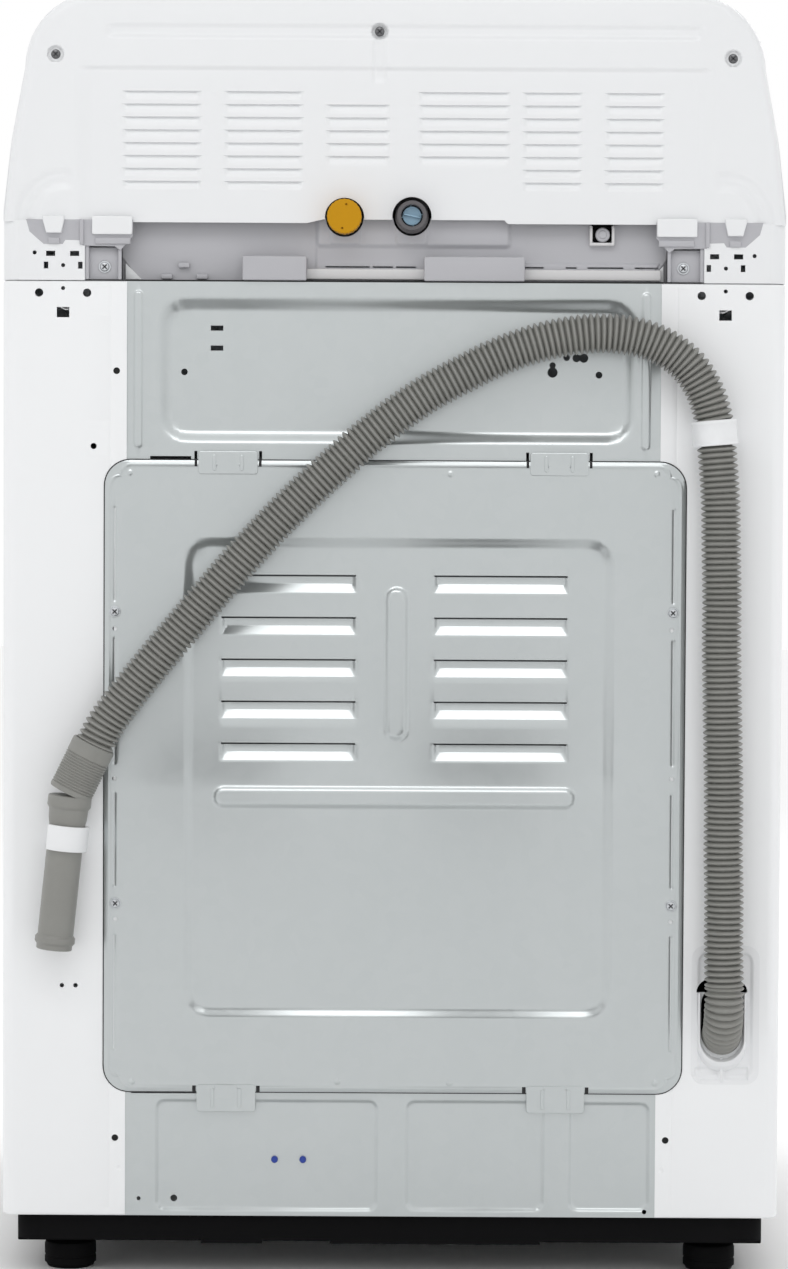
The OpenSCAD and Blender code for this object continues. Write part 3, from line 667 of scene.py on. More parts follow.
HOSE_ROUTE = [
    (-292, 262), (-291, 300), (-291, 340), (-290, 384), (-290, 428), (-289, 472), (-288, 516),
    (-287, 560), (-287, 602), (-286, 645), (-285, 689), (-282, 728), (-279, 756), (-272, 780),
    (-259, 802), (-242, 817), (-222, 827), (-200, 832), (-175, 833), (-149, 830), (-120, 823),
    (-90, 812), (-62, 798), (-31, 781), (-3, 762), (25, 740), (51, 717), (77, 693), (103, 667),
    (129, 639), (155, 609), (181, 578), (207, 547), (231, 517), (250, 491), (262, 468), (281, 430)]
PITCH = 5.15                             # of the hose's corrugation
GROOVE_R = HOSE_R - 4.7
CUFF = ((260, 473), (281, 430))
PIPE = ((281, 428), (295, 293))
OUTLET = (-292, 214)
POCKET, POCKET_CORNER = ((-325, -265), (173, 296)), 12
BEND_R = 40.0


def smooth_path(points, step):
    """Points at an even step along a smooth curve through the given points."""
    points = [Vector(p) for p in points]
    ends = [2 * points[0] - points[1]] + points + [2 * points[-1] - points[-2]]
    dense = []
    for a, b, c, d in zip(ends, ends[1:], ends[2:], ends[3:]):
        for i in range(24):
            t = i / 24
            dense.append(0.5 * (2 * b + (c - a) * t + (2 * a - 5 * b + 4 * c - d) * t * t
                                + (3 * b - a - 3 * c + d) * t ** 3))
    dense.append(points[-1])
    total = sum((q - p).length for p, q in zip(dense, dense[1:]))
    count = max(2, round(total / step))
    found, travelled, target = [dense[0]], 0.0, total / count
    for p, q in zip(dense, dense[1:]):
        length = (q - p).length
        while travelled + length >= target - 1e-9 and len(found) < count:
            found.append(p.lerp(q, (target - travelled) / max(length, 1e-9)))
            target += total / count
        travelled += length
    return found + [dense[-1]]


def sweep(bm, path, radius, sides=32, side=(0, 1, 0), capped=True):
    """A tube along a path whose radius comes from radius(place along it, 0 to its length)."""
    side = Vector(side).normalized()
    rings, along = [], 0.0
    for i, p in enumerate(path):
        if i:
            along += (p - path[i - 1]).length
        ahead = (path[min(i + 1, len(path) - 1)] - path[max(i - 1, 0)]).normalized()
        across = ahead.cross(side).normalized()
        up = across.cross(ahead)
        r = radius(along)
        spokes = [(math.cos(math.tau * k / sides), math.sin(math.tau * k / sides))
                  for k in range(sides)]
        verts = [bm.verts.new(p + r * (c * across + s * up)) for c, s in spokes]
        edges = [bm.edges.new((verts[k], verts[(k + 1) % sides])) for k in range(sides)]
        rings.append((verts, edges))
    for (_, low), (_, high) in zip(rings, rings[1:]):
        bmesh.ops.bridge_loops(bm, edges=low + high)
    if capped:
        bm.faces.new(rings[0][0])
        bm.faces.new(rings[-1][0])
    bmesh.ops.recalc_face_normals(bm, faces=bm.faces)


def corrugation(pitch, crest, groove, start=0.0):
    """Radius along a blow-moulded hose: broad round crests between narrow grooves."""
    def radius(s):
        phase = ((s - start) / pitch) % 1.0
        swell = max(0.0, 1 - abs(2 * phase - 1) ** 1.7)
        return groove + (crest - groove) * swell
    return radius


def make_hose():
    route = [(x, HOSE_Y, z) for x, z in HOSE_ROUTE]
    path = smooth_path(route, PITCH / 7)
    bm = bmesh.new()
    sweep(bm, path, corrugation(PITCH, HOSE_R, GROOVE_R), 30)
    hose = piece("drain_hose_corrugated", bm, "hose_plastic", replaces=["drain_hose"], sharp=70)

    # moulded elbow that turns the hose into the cabinet, with finer ribs round its heel
    arc = [(OUTLET[0], HOSE_Y - BEND_R + BEND_R * math.cos(a), OUTLET[1] + BEND_R
            - BEND_R * math.sin(a)) for a in (math.radians(k * 90 / 40) for k in range(41))]
    arc = [(OUTLET[0], HOSE_Y, 264), (OUTLET[0], HOSE_Y, 259)] + arc
    bm = bmesh.new()
    elbow = smooth_path(arc, 0.8)
    sweep(bm, elbow, corrugation(PITCH, HOSE_R, GROOVE_R), 30, side=(1, 0, 0))
    elbow = piece("drain_hose_elbow", bm, "hose_plastic", replaces=["drain_hose_fittings"],
                  sharp=70)

    cuff_turn = pointing((CUFF[0][0], HOSE_Y, CUFF[0][1]), (CUFF[1][0], HOSE_Y, CUFF[1][1]))
    length = math.dist(*CUFF)
    bm = bmesh.new()
    outside = [(16.9, 0), (18.6, 0.2), (19.3, 1.0), (19.4, 3), (19.4, 13)]
    h = 13.6
    while h < length - 4:
        outside += [(18.6, h), (18.6, h + 0.6), (19.4, h + 1.0), (19.4, h + 1.9)]
        h += 2.4
    outside += [(19.4, length - 1.2), (18.8, length), (16.9, length), (16.9, 0)]
    add_turned(bm, outside, cuff_turn, 40)
    cuff = piece("drain_hose_cuff", bm, "hose_plastic", sharp=30)

    pipe_turn = pointing((PIPE[0][0], HOSE_Y, PIPE[0][1]), (PIPE[1][0], HOSE_Y, PIPE[1][1]))
    length = math.dist(*PIPE)
    bm = bmesh.new()
    wall = [(0, 0.0), (17.6, 0.0), (18.9, 0.8), (19.1, 2.5), (19.1, 9), (18.7, 10), (17.2, 12),
            (16.8, 20), (16.2, 24), (15.7, 26), (15.7, 44), (16.6, 45), (16.6, 47.5), (15.7, 48.5),
            (15.7, length - 13), (16.5, length - 12), (17.6, length - 10.5),
            (17.6, length - 6.5), (16.5, length - 5), (15.7, length - 4), (15.7, length - 0.8),
            (15.2, length), (13.6, length), (13.4, length - 1), (13.4, length - 30),
            (0, length - 31)]
    add_turned(bm, wall, pipe_turn, 40)
    pipe = piece("drain_hose_end_pipe", bm, "hose_plastic", sharp=30)

    [p * MM for p in path]


def make_clips():
    """A closed strap near the top of the upright run and an open clip round the end pipe."""
    bm = bmesh.new()
    middle = Vector((-279.5, HOSE_Y, 747))
    axis = Vector((math.sin(math.radians(5)), 0, math.cos(math.radians(5))))
    turn = pointing(middle - axis * 11, middle + axis * 11)
    band = [(17.6, 0), (19.4, 0), (20.0, 0.7), (20.0, 3), (19.5, 3.6), (19.5, 18.4), (20.0, 19),
            (20.0, 21.3), (19.4, 22), (17.6, 22), (17.6, 0)]
    add_turned(bm, band, turn, 40)
    add_box(bm, (-292, -267), (REAR, REAR + 8), (739, 755), 1.2)
    piece("hose_strap", bm, "white_plastic", sharp=40)

    bm = bmesh.new()
    low = Vector((283.6, HOSE_Y, 402))
    ahead = (Vector((PIPE[1][0], HOSE_Y, PIPE[1][1])) - low).normalized()
    turns = [math.radians(-235 + 290 * i / 40) for i in range(41)]
    back = [math.radians(55 - 290 * i / 40) for i in range(41)]
    outline = [(r * math.sin(a), r * math.cos(a)) for r, way in ((15.9, turns), (19.5, back))
               for a in way]
    part = bmesh.new()
    face = part.faces.new([part.verts.new((x, y, 0)) for x, y in outline])
    grown = bmesh.ops.extrude_face_region(part, geom=[face])
    bmesh.ops.translate(part, vec=(0, 0, 22),
                        verts=[v for v in grown["geom"] if isinstance(v, bmesh.types.BMVert)])
    bmesh.ops.recalc_face_normals(part, faces=part.faces)
    bevel(part, crisp_edges(part, 50), 0.7, 2)
    across = -Vector((0, 1, 0)).cross(ahead).normalized()
    turn = Matrix((across, Vector((0, -1, 0)), ahead)).transposed().to_4x4()
    merge_into(bm, part, Matrix.Translation(low) @ turn)
    add_box(bm, (273, 298), (REAR, REAR + 7), (382, 401), 1.2)
    piece("hose_open_clip", bm, "white_plastic", replaces=["hose_clips"], sharp=40)


# ------------------------------------------------------------------ rear sheet metal


def make_cabinet():
    """The wrap: one sheet from flange to flange round the front, rolled round its corners."""
    corner, flange, wall = 12.0, 234.0, 1.4
    quarter = corner * math.pi / 2
    runs = [HALF_W - corner - flange, quarter, REAR - FRONT - 2 * corner, quarter,
            2 * (HALF_W - corner), quarter, REAR - FRONT - 2 * corner, quarter,
            HALF_W - corner - flange]
    stops = [sum(runs[:i]) for i in range(len(runs) + 1)]

    def outline(s):
        """Point and outward direction at a length along the wrap, from the right flange."""
        i = max(k for k in range(len(runs)) if s >= stops[k] - 1e-9 or k == 0)
        t = s - stops[i]
        w, c = HALF_W, corner
        rear, front = REAR, FRONT
        straight = {0: ((flange + t, rear), 90), 2: ((w, rear - c - t), 0),
                    4: ((w - c - t, front), 270), 6: ((-w, front + c + t), 180),
                    8: ((-w + c + t, rear), 90)}
        if i in straight:
            return straight[i]
        centre = {1: (w - c, rear - c, 90), 3: (w - c, front + c, 0), 5: (-w + c, front + c, 270),
                  7: (-w + c, rear - c, 180)}[i]
        a = centre[2] - t / c * 180 / math.pi
        return ((centre[0] + c * math.cos(math.radians(a)),
                 centre[1] + c * math.sin(math.radians(a))), a)

    rear_marks = [Press((247, 249.5), (60, 874), 0.3, -0.5, 1.6),
                  Press((-249.5, -247), (60, 874), 0.3, -0.5, 1.6)]
    welds = [Press((x - 2.6, x + 2.6), (z - 2.6, z + 2.6), 2.6, -0.55, 1.6)
             for z in range(96, 700, 86) for x in (239.5, -239.5)]
    spots = rear_marks + welds
    marks = []
    for f in spots:
        for place, spacing, reach in f.marks(0):
            start = -flange if place > 0 else stops[8] + HALF_W - corner
            marks.append((start + place, spacing, reach))
    for i in (1, 3, 5, 7):
        marks.append((stops[i] + quarter / 2, quarter / 10, quarter / 2))
    exact = list(stops[1:-1]) + [1.0, stops[-1] - 1.0]
    ss = grid_lines(0, stops[-1], 40, marks, exact)
    zs = grid_lines(SKIRT, SEAM - 0.6, 30, [m for f in spots for m in f.marks(1)],
                    (SKIRT + 1, SKIRT + 3, SEAM - 3, SEAM - 1.4))

    def place(s, z):
        (x, y), angle = outline(s)
        a = math.radians(angle)
        roll = 1.0 - math.sqrt(max(0.0, 1 - (1 - min(1, (SEAM - 0.6 - z) / 2.4)) ** 2))
        roll += 1.0 - math.sqrt(max(0.0, 1 - (1 - min(1, (z - SKIRT) / 3.0)) ** 2))
        pushed = -wall * roll
        if angle == 90 and abs(x) < HALF_W - corner:
            pushed += relief(spots, x, z)
        return Vector((x + pushed * math.cos(a), y + pushed * math.sin(a), z))

    bm = pressed_sheet(ss, zs, place)
    thicken(bm, wall, lambda f: f.calc_center_median() - Vector((0, 0, f.calc_center_median().z)))
    made = piece("cabinet_wrap", bm, "white_steel", replaces=["cabinet"], sharp=40)
    rounds, slots = [], []
    for side in (1, -1):
        rounds += [(311 * side, 867, 3.7), (269 * side, 867, 3.7), (290 * side, 871, 1.8),
                   (243 * side, 123, 3)]
        slots.append((290 * side, 850, 11, 9))
    rounds += [(243, 799, 3), (263, 733, 2.7), (290, 258, 2), (278, 258, 2)]
    # black discs just inside three flange holes: painted shade in the holes
    bm = bmesh.new()
    for at in ((243, 799), (243, 123), (-243, 123)):
        add_turned(bm, [(0, 0), (2.9, 0), (2.9, 0.2), (0, 0.2)], rear_axis(at, REAR - wall), 20)
    piece("flange_hole_shade_discs", bm, "shadow")
    cutter = holes(rounds, slots)
    pocket = rounded_outline(*POCKET, POCKET_CORNER)
    add_outline(cutter, pocket, (-6, 6), turn=facing_rear(REAR))
    cut(made, cutter)


COVER_TABS = ((119, 171), (-171, -120))  # left and right side of each pair of hooked tabs
CONSOLE_SCREWS = ((297, 1075), (14, 1096), (-295, 1074))


def make_rear_cover():
    """Service cover: a pressed field with louvres and beads, hooked in at top and bottom."""
    x, z = (-256.5, 253), (164.5, 721)
    corner = 23.0
    field = Press((-195, 184), (230, 654), 24, -4.2, 9)
    features = [field, Press((-15, 8), (474, 612), 11.5, 3.4, 6),
                Press((-163, 159), (414, 436), 11, 3.4, 6),
                Press((-252.6, 249.2), (168.4, 717.2), 20, 0.7, 1.3, line=True)]
    for low, high in ((596, 681), (453, 566), (345, 430), (200, 305)):
        for at in (244, -246.5):
            features.append(Press((at - 2.2, at + 2.2), (low, high), 2.2, -1.3, 2.2))
    for at in ((231, 710), (-50, 710), (-231, 711), (228, 173), (47, 174), (-52, 173), (-233, 174)):
        features.append(Press((at[0] - 3.2, at[0] + 3.2), (at[1] - 3.2, at[1] + 3.2), 3.2, 0.9, 2))
    # short creases beside the hooked tabs
    for left, right in COVER_TABS:
        for at in (left + 16, right - 16):
            features.append(Press((at - 1.4, at + 1.4), (712, 720.4), 1.4, 0.8, 1.4))
            features.append(Press((at - 1.4, at + 1.4), (165, 171), 1.4, 0.8, 1.4))
    louvres = [(a, b, 621 - 37 * row) for row in range(5) for a, b in ((31, 152), (-155, -35))]

    def louvre(px, pz):
        for a, b, top in louvres:
            if a - 1 < px < b + 1 and top - 16 <= pz <= top - 1.55:
                ends = min(px - a, b - px)
                lower = min(1.0, (pz - (top - 16)) / 8.6)
                return -4.2 * min(lower, ease(ends / 6.0))
        return 0.0

    exact_z = [top + d for top in {c for _, _, c in louvres} for d in (0, -1.6, -3, -7.4, -8.2,
                                                                     -10.5, -12.5, -15.2, -16)]
    exact_x = [v for a, b, _ in louvres for v in (a, a + 1.5, a + 3, a + 4.6, a + 7, b - 7, b - 4.6,
                                                  b - 3, b - 1.5, b)]
    xs, zs = sheet_grid(x, z, features, 15.0, sorted(set(exact_x)), sorted(set(exact_z)))

    def place(px, pz):
        y = REAR + 1.2 + relief(features, px, pz) + louvre(px, pz)
        px, pz, edge = on_round_corner(px, pz, x, z, corner)
        return Vector((px, y - 0.8 * (1 - ease(edge / 1.6)), pz))

    def slit(px, pz):
        return any(a + 1.4 < px < b - 1.4 and top - 1.6 < pz < top for a, b, top in louvres)

    bm = pressed_sheet(xs, zs, place, slit)
    thicken(bm, 1.0)
    made = piece("rear_service_cover", bm, "galvanised_steel", replaces=["rear_cover"], sharp=38)
    rounds = [(244, 573, 2), (244, 441, 2), (243, 317, 2), (-245, 574, 2), (-246, 443, 2),
              (-246, 317, 2)]
    slots = []
    for left, right in COVER_TABS:
        for at in (left - 2.2, right + 2.2):
            slots.append((at, 718.6, 2.4, 6))
            slots.append((at, 167, 3.2, 6))
    cut(made, holes(rounds, slots))

    # dark ring under the cover's edge, showing 1 mm outside it: painted shade that shows as a line
    # round the cover
    bm = bmesh.new()
    sizes = (((-257.5, 254), (163.6, 722), 23.6), ((-249, 245), (172, 713), 17))
    loops = []
    for depth, k in ((0.02, 0), (0.3, 0), (0.3, 1), (0.02, 1)):
        ring = [bm.verts.new((a, REAR + depth, b)) for a, b in rounded_outline(*sizes[k], 12)]
        loops.append([bm.edges.new(pair) for pair in zip(ring, ring[1:] + ring[:1])])
    for first, second in zip(loops, loops[1:] + loops[:1]):
        bmesh.ops.bridge_loops(bm, edges=first + second)
    bmesh.ops.recalc_face_normals(bm, faces=bm.faces)
    piece("rear_cover_shade_line", bm, "dark_rubber")

    bm = bmesh.new()
    for left, right in COVER_TABS:
        for z0, z1 in ((709, 729), (147, 171)):
            outline = rounded_outline((left, right), (z0, z1), 2.5, 4)
            add_outline(bm, outline, (0, 1.1), 0.4, facing_rear(REAR + 1.0))
            for at in (left + 14, right - 14):
                bead = rounded_outline((at - 1.5, at + 1.5), (z0 + 3, z1 - 3), 1.45, 4)
                add_outline(bm, bead, (0, 0.9), 0.7, facing_rear(REAR + 2.0))
    piece("rear_cover_tabs", bm, "galvanised_steel", sharp=38)


def make_rear_braces():
    x = (-252, 252)
    y = REAR - 1.5
    upper = [Press((-213.5, 207.5), (735, 864.5), 26, -7.0, 13.0)]
    for at in (224, -221):
        upper.append(Press((at - 4.6, at + 4.6), (731, 870), 4.6, 1.9, 2.4))
    xs, zs = sheet_grid(x, (722, 877.4), upper, 16)
    bm = pressed_sheet(xs, zs, lambda px, pz: Vector((px, y + relief(upper, px, pz), pz)))
    thicken(bm, 1.1)
    made = piece("rear_upper_brace", bm, "galvanised_steel", replaces=["rear_top_brace"], sharp=38)
    rounds = [(184, 798.5, 2.9), (-180, 797.5, 3), (-139.2, 799.6, 4.5), (-139.2, 805.8, 2.8),
              (-151.5, 812.7, 2.9), (-160.2, 812.3, 3.6), (-166.5, 812.3, 4)]
    slots = [(155.5, 837, 11, 4.5), (155.5, 819.5, 11, 4.5), (195.5, 723.3, 36, 2.6)]
    slots += [(at, 725, 2.6, 8.5) for at in (116.6, 173.4, -173.4, -117.6)]
    cut(made, holes(rounds, slots, 24), True)

    lower = [Press((10, 208), (57.5, 158), 9, -2.6, 4), Press((-137, -13), (58, 158), 9, -2.6, 4),
             Press((-230, -157), (58.5, 157), 9, -2.6, 4)]
    xs, zs = sheet_grid(x, (SKIRT, 164), lower, 16)
    bm = pressed_sheet(xs, zs, lambda px, pz: Vector((px, y + relief(lower, px, pz), pz)))
    thicken(bm, 1.1)
    made = piece("rear_lower_brace", bm, "galvanised_steel", replaces=["rear_bottom_brace"],
                 sharp=38)
    rounds = [(222, 69, 1.8), (191, 69, 3), (-225, 59, 2)]
    cut(made, holes(rounds, [(200, 163.6, 58, 2.2)], depth=24))

    bm = bmesh.new()
    for px in (77, 102):
        add_turned(bm, [(0, 0), (3, 0), (3, 3.2), (2.2, 4.2), (0, 4.4)],
                   rear_axis((px, 104), y - 3), 20)
    piece("brace_clip_pins", bm, "pin_blue")


SCREW_RECESS_SHADE = bmesh.new()                   # dark crosses painted as shade in the screws' cross recesses


def cross_head(bm, at, y, r, washer=0.0):
    """A pan head screw with a cross recess, and a washer where it has one."""
    part = bmesh.new()
    profile = [(0, 2.1), (r * 0.55, 2.1), (r * 0.8, 1.8), (r * 0.95, 1.1), (r, 0.3), (r, 0)]
    if washer:
        profile = ([(a, h + 0.8) for a, h in profile[:-1]]
                   + [(r, 0.9), (washer - 0.3, 0.9), (washer, 0.6), (washer, 0)])
    profile.append((0, 0))
    add_turned(part, profile, None, 28)
    top = max(v.co.z for v in part.verts)
    cutters = bmesh.new()
    for turn in (45, 135):
        blade = bmesh.new()
        bmesh.ops.create_cube(blade, size=1)
        bmesh.ops.scale(blade, vec=(r * 1.45, r * 0.34, 2.4), verts=blade.verts)
        merge_into(cutters, blade, Matrix.Translation((0, 0, top))
                   @ Matrix.Rotation(math.radians(turn), 4, "Z"))
    head = in_scene("head", bpy.data.meshes.new("head"))
    tool = in_scene("blades", bpy.data.meshes.new("blades"))
    for made, source in ((head, part), (tool, cutters)):
        source.to_mesh(made.data)
        source.free()
    subtract(head, tool, True)
    done = bmesh.new()
    done.from_mesh(head.data)
    for made in (head, tool):
        mesh = made.data
        bpy.data.objects.remove(made)
        bpy.data.meshes.remove(mesh)
    merge_into(bm, done, rear_axis(at, y))
    # a dark cross low in the cross recess: painted shade, gathered into one piece
    for turn in (45, 135):
        add_box(SCREW_RECESS_SHADE, (-r * 0.6, r * 0.6), (-r * 0.13, r * 0.13), (0.3, top - 0.9),
                turn=rear_axis(at, y) @ Matrix.Rotation(math.radians(turn), 4, "Z"))


def make_rear_screws():
    bm = bmesh.new()
    for at in ((244, 588), (243, 331), (-246, 589), (-246, 331)):
        cross_head(bm, at, REAR + 1.2, 4.3, 5.2)
    piece("service_cover_screws", bm, "zinc_steel", replaces=["rear_cover_screws"], sharp=30)
    bm = bmesh.new()
    for at in ((254, 890), (-253, 891)):
        cross_head(bm, at, REAR - 6, 4.3, 5.6)
    piece("corner_bracket_screws", bm, "zinc_steel", replaces=["top_cover_screws"], sharp=30)
    bm = bmesh.new()
    for at in CONSOLE_SCREWS:
        cross_head(bm, at, REAR - 4.0, 4.2)
    piece("console_back_screws", bm, "screw_dark", replaces=["console_screws"], sharp=30)
    # the painted shade in all the screws' cross recesses
    piece("screw_recess_shade", SCREW_RECESS_SHADE, "dark_plastic", sharp=30)


# ------------------------------------------------------------------ rear of the console

HOT, COLD = (44, 934), (-15, 935)
VENTS = [(169, 239, 1043.6, 8), (80, 150, 1043.6, 8), (4, 61, 1032.4, 5), (-101, -20, 1043.6, 6),
         (-164, -111, 1043.6, 8), (-236, -183, 1043.6, 8)]
VENT_PITCH = 11.2


def make_console_back():
    """Moulded back of the console, with round shoulders and saw-tooth vents."""
    low, top = 929.0, TOP - 0.2
    shoulder, centre = 65.7, 258         # radius of the round shoulder and its centre in X

    def half_width(z):
        """Half width of the outline at a height, from its foot to the round shoulder."""
        side = 342.7 - 7 * min(1, (z - low) / (1000 - low))
        side -= 12.1 * min(1, max(0, (z - 1000) / (top - shoulder - 1000)))
        if z > top - shoulder:
            side = centre + math.sqrt(max(0, shoulder ** 2 - (z - top + shoulder) ** 2))
        return side

    panel_side, panel_top = (281, 17), (1066, 5)  # where the panel ends, and over what width

    def depth(x, z):
        d = -2.6 * ease((panel_side[0] - abs(x)) / panel_side[1]) * ease(
            (panel_top[0] - z) / panel_top[1])
        d -= 2.3 * ease((x + 270) / 9) * ease((255 - x) / 9) * ease((z - 1088) / 6) * ease(
            (1103 - z) / 5)
        for cx, cz in CONSOLE_SCREWS:
            d -= 3.8 * ease((7.6 - math.hypot(x - cx, z - cz)) / 1.8)
        d -= 1.3 * ease((7 - abs(x - 14)) / 3.5) * ease((1090 - z) / 6) * ease((z - 1050) / 6)
        for a, b, first, rows in VENTS:
            if a < x < b and first - VENT_PITCH * rows < z < first:
                fall = max(0.0, 1 - 1.5 * (((first - z) / VENT_PITCH) % 1.0))
                d -= 3.4 * fall * ease((x - a) / 5) * ease((b - x) / 5)
        # a bowl at each lower corner, with a soft raised arc over it
        arc = math.hypot(abs(x) - 288, z - 931)
        d -= 3.0 * ease((arc - 24) / 10) * ease((46 - arc) / 8) * ease((abs(x) - 276) / 14)
        d += 0.9 * math.exp(-(((arc - 37.5) / 3.0) ** 2)) * ease((abs(x) - 282) / 10)
        return d

    limit = half_width(low)
    xs_exact = [v for a, b, _, _ in VENTS
                for v in (a, a + 1.5, a + 3.2, a + 5, b - 5, b - 3.2, b - 1.5, b)]
    marks_x = [(side * 272, 2.0, 10) for side in (-1, 1)]
    marks_x += [(side * (limit - 6), 1.0, 6) for side in (-1, 1)]
    marks_x += [(cx, 1.0, 9) for cx, _ in CONSOLE_SCREWS] + [(-267, 0.8, 2), (252, 0.8, 2)]
    marks_x += [(side * 304, 1.6, 28) for side in (-1, 1)]
    zs_exact = [1043.6 - VENT_PITCH * k + d for k in range(9) for d in (0.02, -0.35, -3.7, -7.4)]
    marks_z = [(1063.5, 0.7, 3), (1075, 1.0, 9), (1096, 0.9, 9), (top - 5, 0.8, 5), (1050, 2, 7),
               (low + 3, 0.8, 3), (953, 1.8, 22)]
    xs = grid_lines(-limit, limit, 14, marks_x, xs_exact)
    zs = grid_lines(low, top, 12, marks_z, zs_exact)

    def place(x, z):
        foot = 3.2 * ease((70 - x) / 3) * ease((x + 99) / 3)
        pz = z + foot * ease((low + 14 - z) / 14)
        ratio = 1.0
        band = 245.0
        if abs(x) > band:
            ratio = (band + (abs(x) - band) * (half_width(z) - band) / (limit - band)) / abs(x)
        px = x * ratio
        inside = min(half_width(z) - abs(px), top - z)
        if z > top - shoulder and abs(px) > centre:
            inside = shoulder - math.hypot(abs(px) - centre, z - top + shoulder)
        rim = 7.6
        short = max(0.0, rim - inside)
        drop = rim - math.sqrt(max(0.0, rim ** 2 - min(short, rim) ** 2))
        drop += 2.6 * (1 - min(1.0, (top - z) / 24)) ** 2
        return Vector((px, REAR + depth(px, z) - min(drop, 7.8), pz))

    bm = pressed_sheet(xs, zs, place)
    thicken(bm, 2.2)
    made = piece("console_back", bm, "white_plastic", replaces=["console_rear_cover"], sharp=32)
    cutter = bmesh.new()
    for at in (HOT, COLD):
        add_drill(cutter, at, REAR, 17.2, 40, 48)
    cut(made, cutter)

    # white hooks along the foot, in front of the grey carrier that they clip into
    bm = bmesh.new()
    for side in (1, -1):
        hook = [(side * a, b) for a, b in ((289, 934), (307.6, 934), (307.6, 930), (304.6, 919),
                                           (291.4, 919), (289, 930))]
        add_outline(bm, hook, (0, 5.5), 0.9, facing_rear(REAR - 1))
        tab = rounded_outline((247 * side - 17.6, 247 * side + 17.6), (918, 934), 1.5, 3)
        add_outline(bm, tab, (0, 4.5), 0.8, facing_rear(REAR - 1))
    piece("console_foot_hooks", bm, "white_plastic", sharp=35)
    bm = bmesh.new()
    for side in (1, -1):
        carrier = [(side * a, b) for a, b in (
            (322.6, 931), (319.6, 920.2), (307.2, 909.3), (290.4, 909.3), (288, 913),
            (275.5, 912.6), (273, 908), (245, 907.6), (240, 904), (229, 916.5), (229, 931))]
        add_outline(bm, carrier, (0, 2.2), 0.7, facing_rear(REAR - 1.8))
        for a, b in ((293, 303), (231, 262)):
            low, high = sorted((side * a, side * b))
            add_box(bm, (low, high), (REAR - 1, REAR + 2.4), (909.6, 915), 0.7)
        low, high = sorted((side * 272, side * 275.5))
        add_box(bm, (low, high), (REAR - 1, REAR + 2.6), (909, 931), 0.7)
    piece("console_foot_carrier", bm, "grey_plastic", sharp=38)


# ------------------------------------------------------------------ shelf, inlets and outlet


def softened(name, node, material, width, body="machine", segments=2, angle=32.0, flat=1.0):
    """A copy of a CAD node with its sharp edges rounded, standing for the node."""
    bm = bmesh.new()
    bm.from_mesh(frame["nodes"][node].data)
    bmesh.ops.scale(bm, vec=(1 / MM,) * 3, verts=bm.verts)
    bmesh.ops.remove_doubles(bm, verts=bm.verts, dist=0.002)
    bmesh.ops.dissolve_degenerate(bm, dist=0.002, edges=bm.edges)
    bmesh.ops.dissolve_limit(bm, angle_limit=math.radians(flat), verts=bm.verts, edges=bm.edges)
    bevel(bm, crisp_edges(bm, angle), width, segments)
    bmesh.ops.remove_doubles(bm, verts=bm.verts, dist=0.002)
    return piece(name, bm, material, body, [node], 40, 3000)


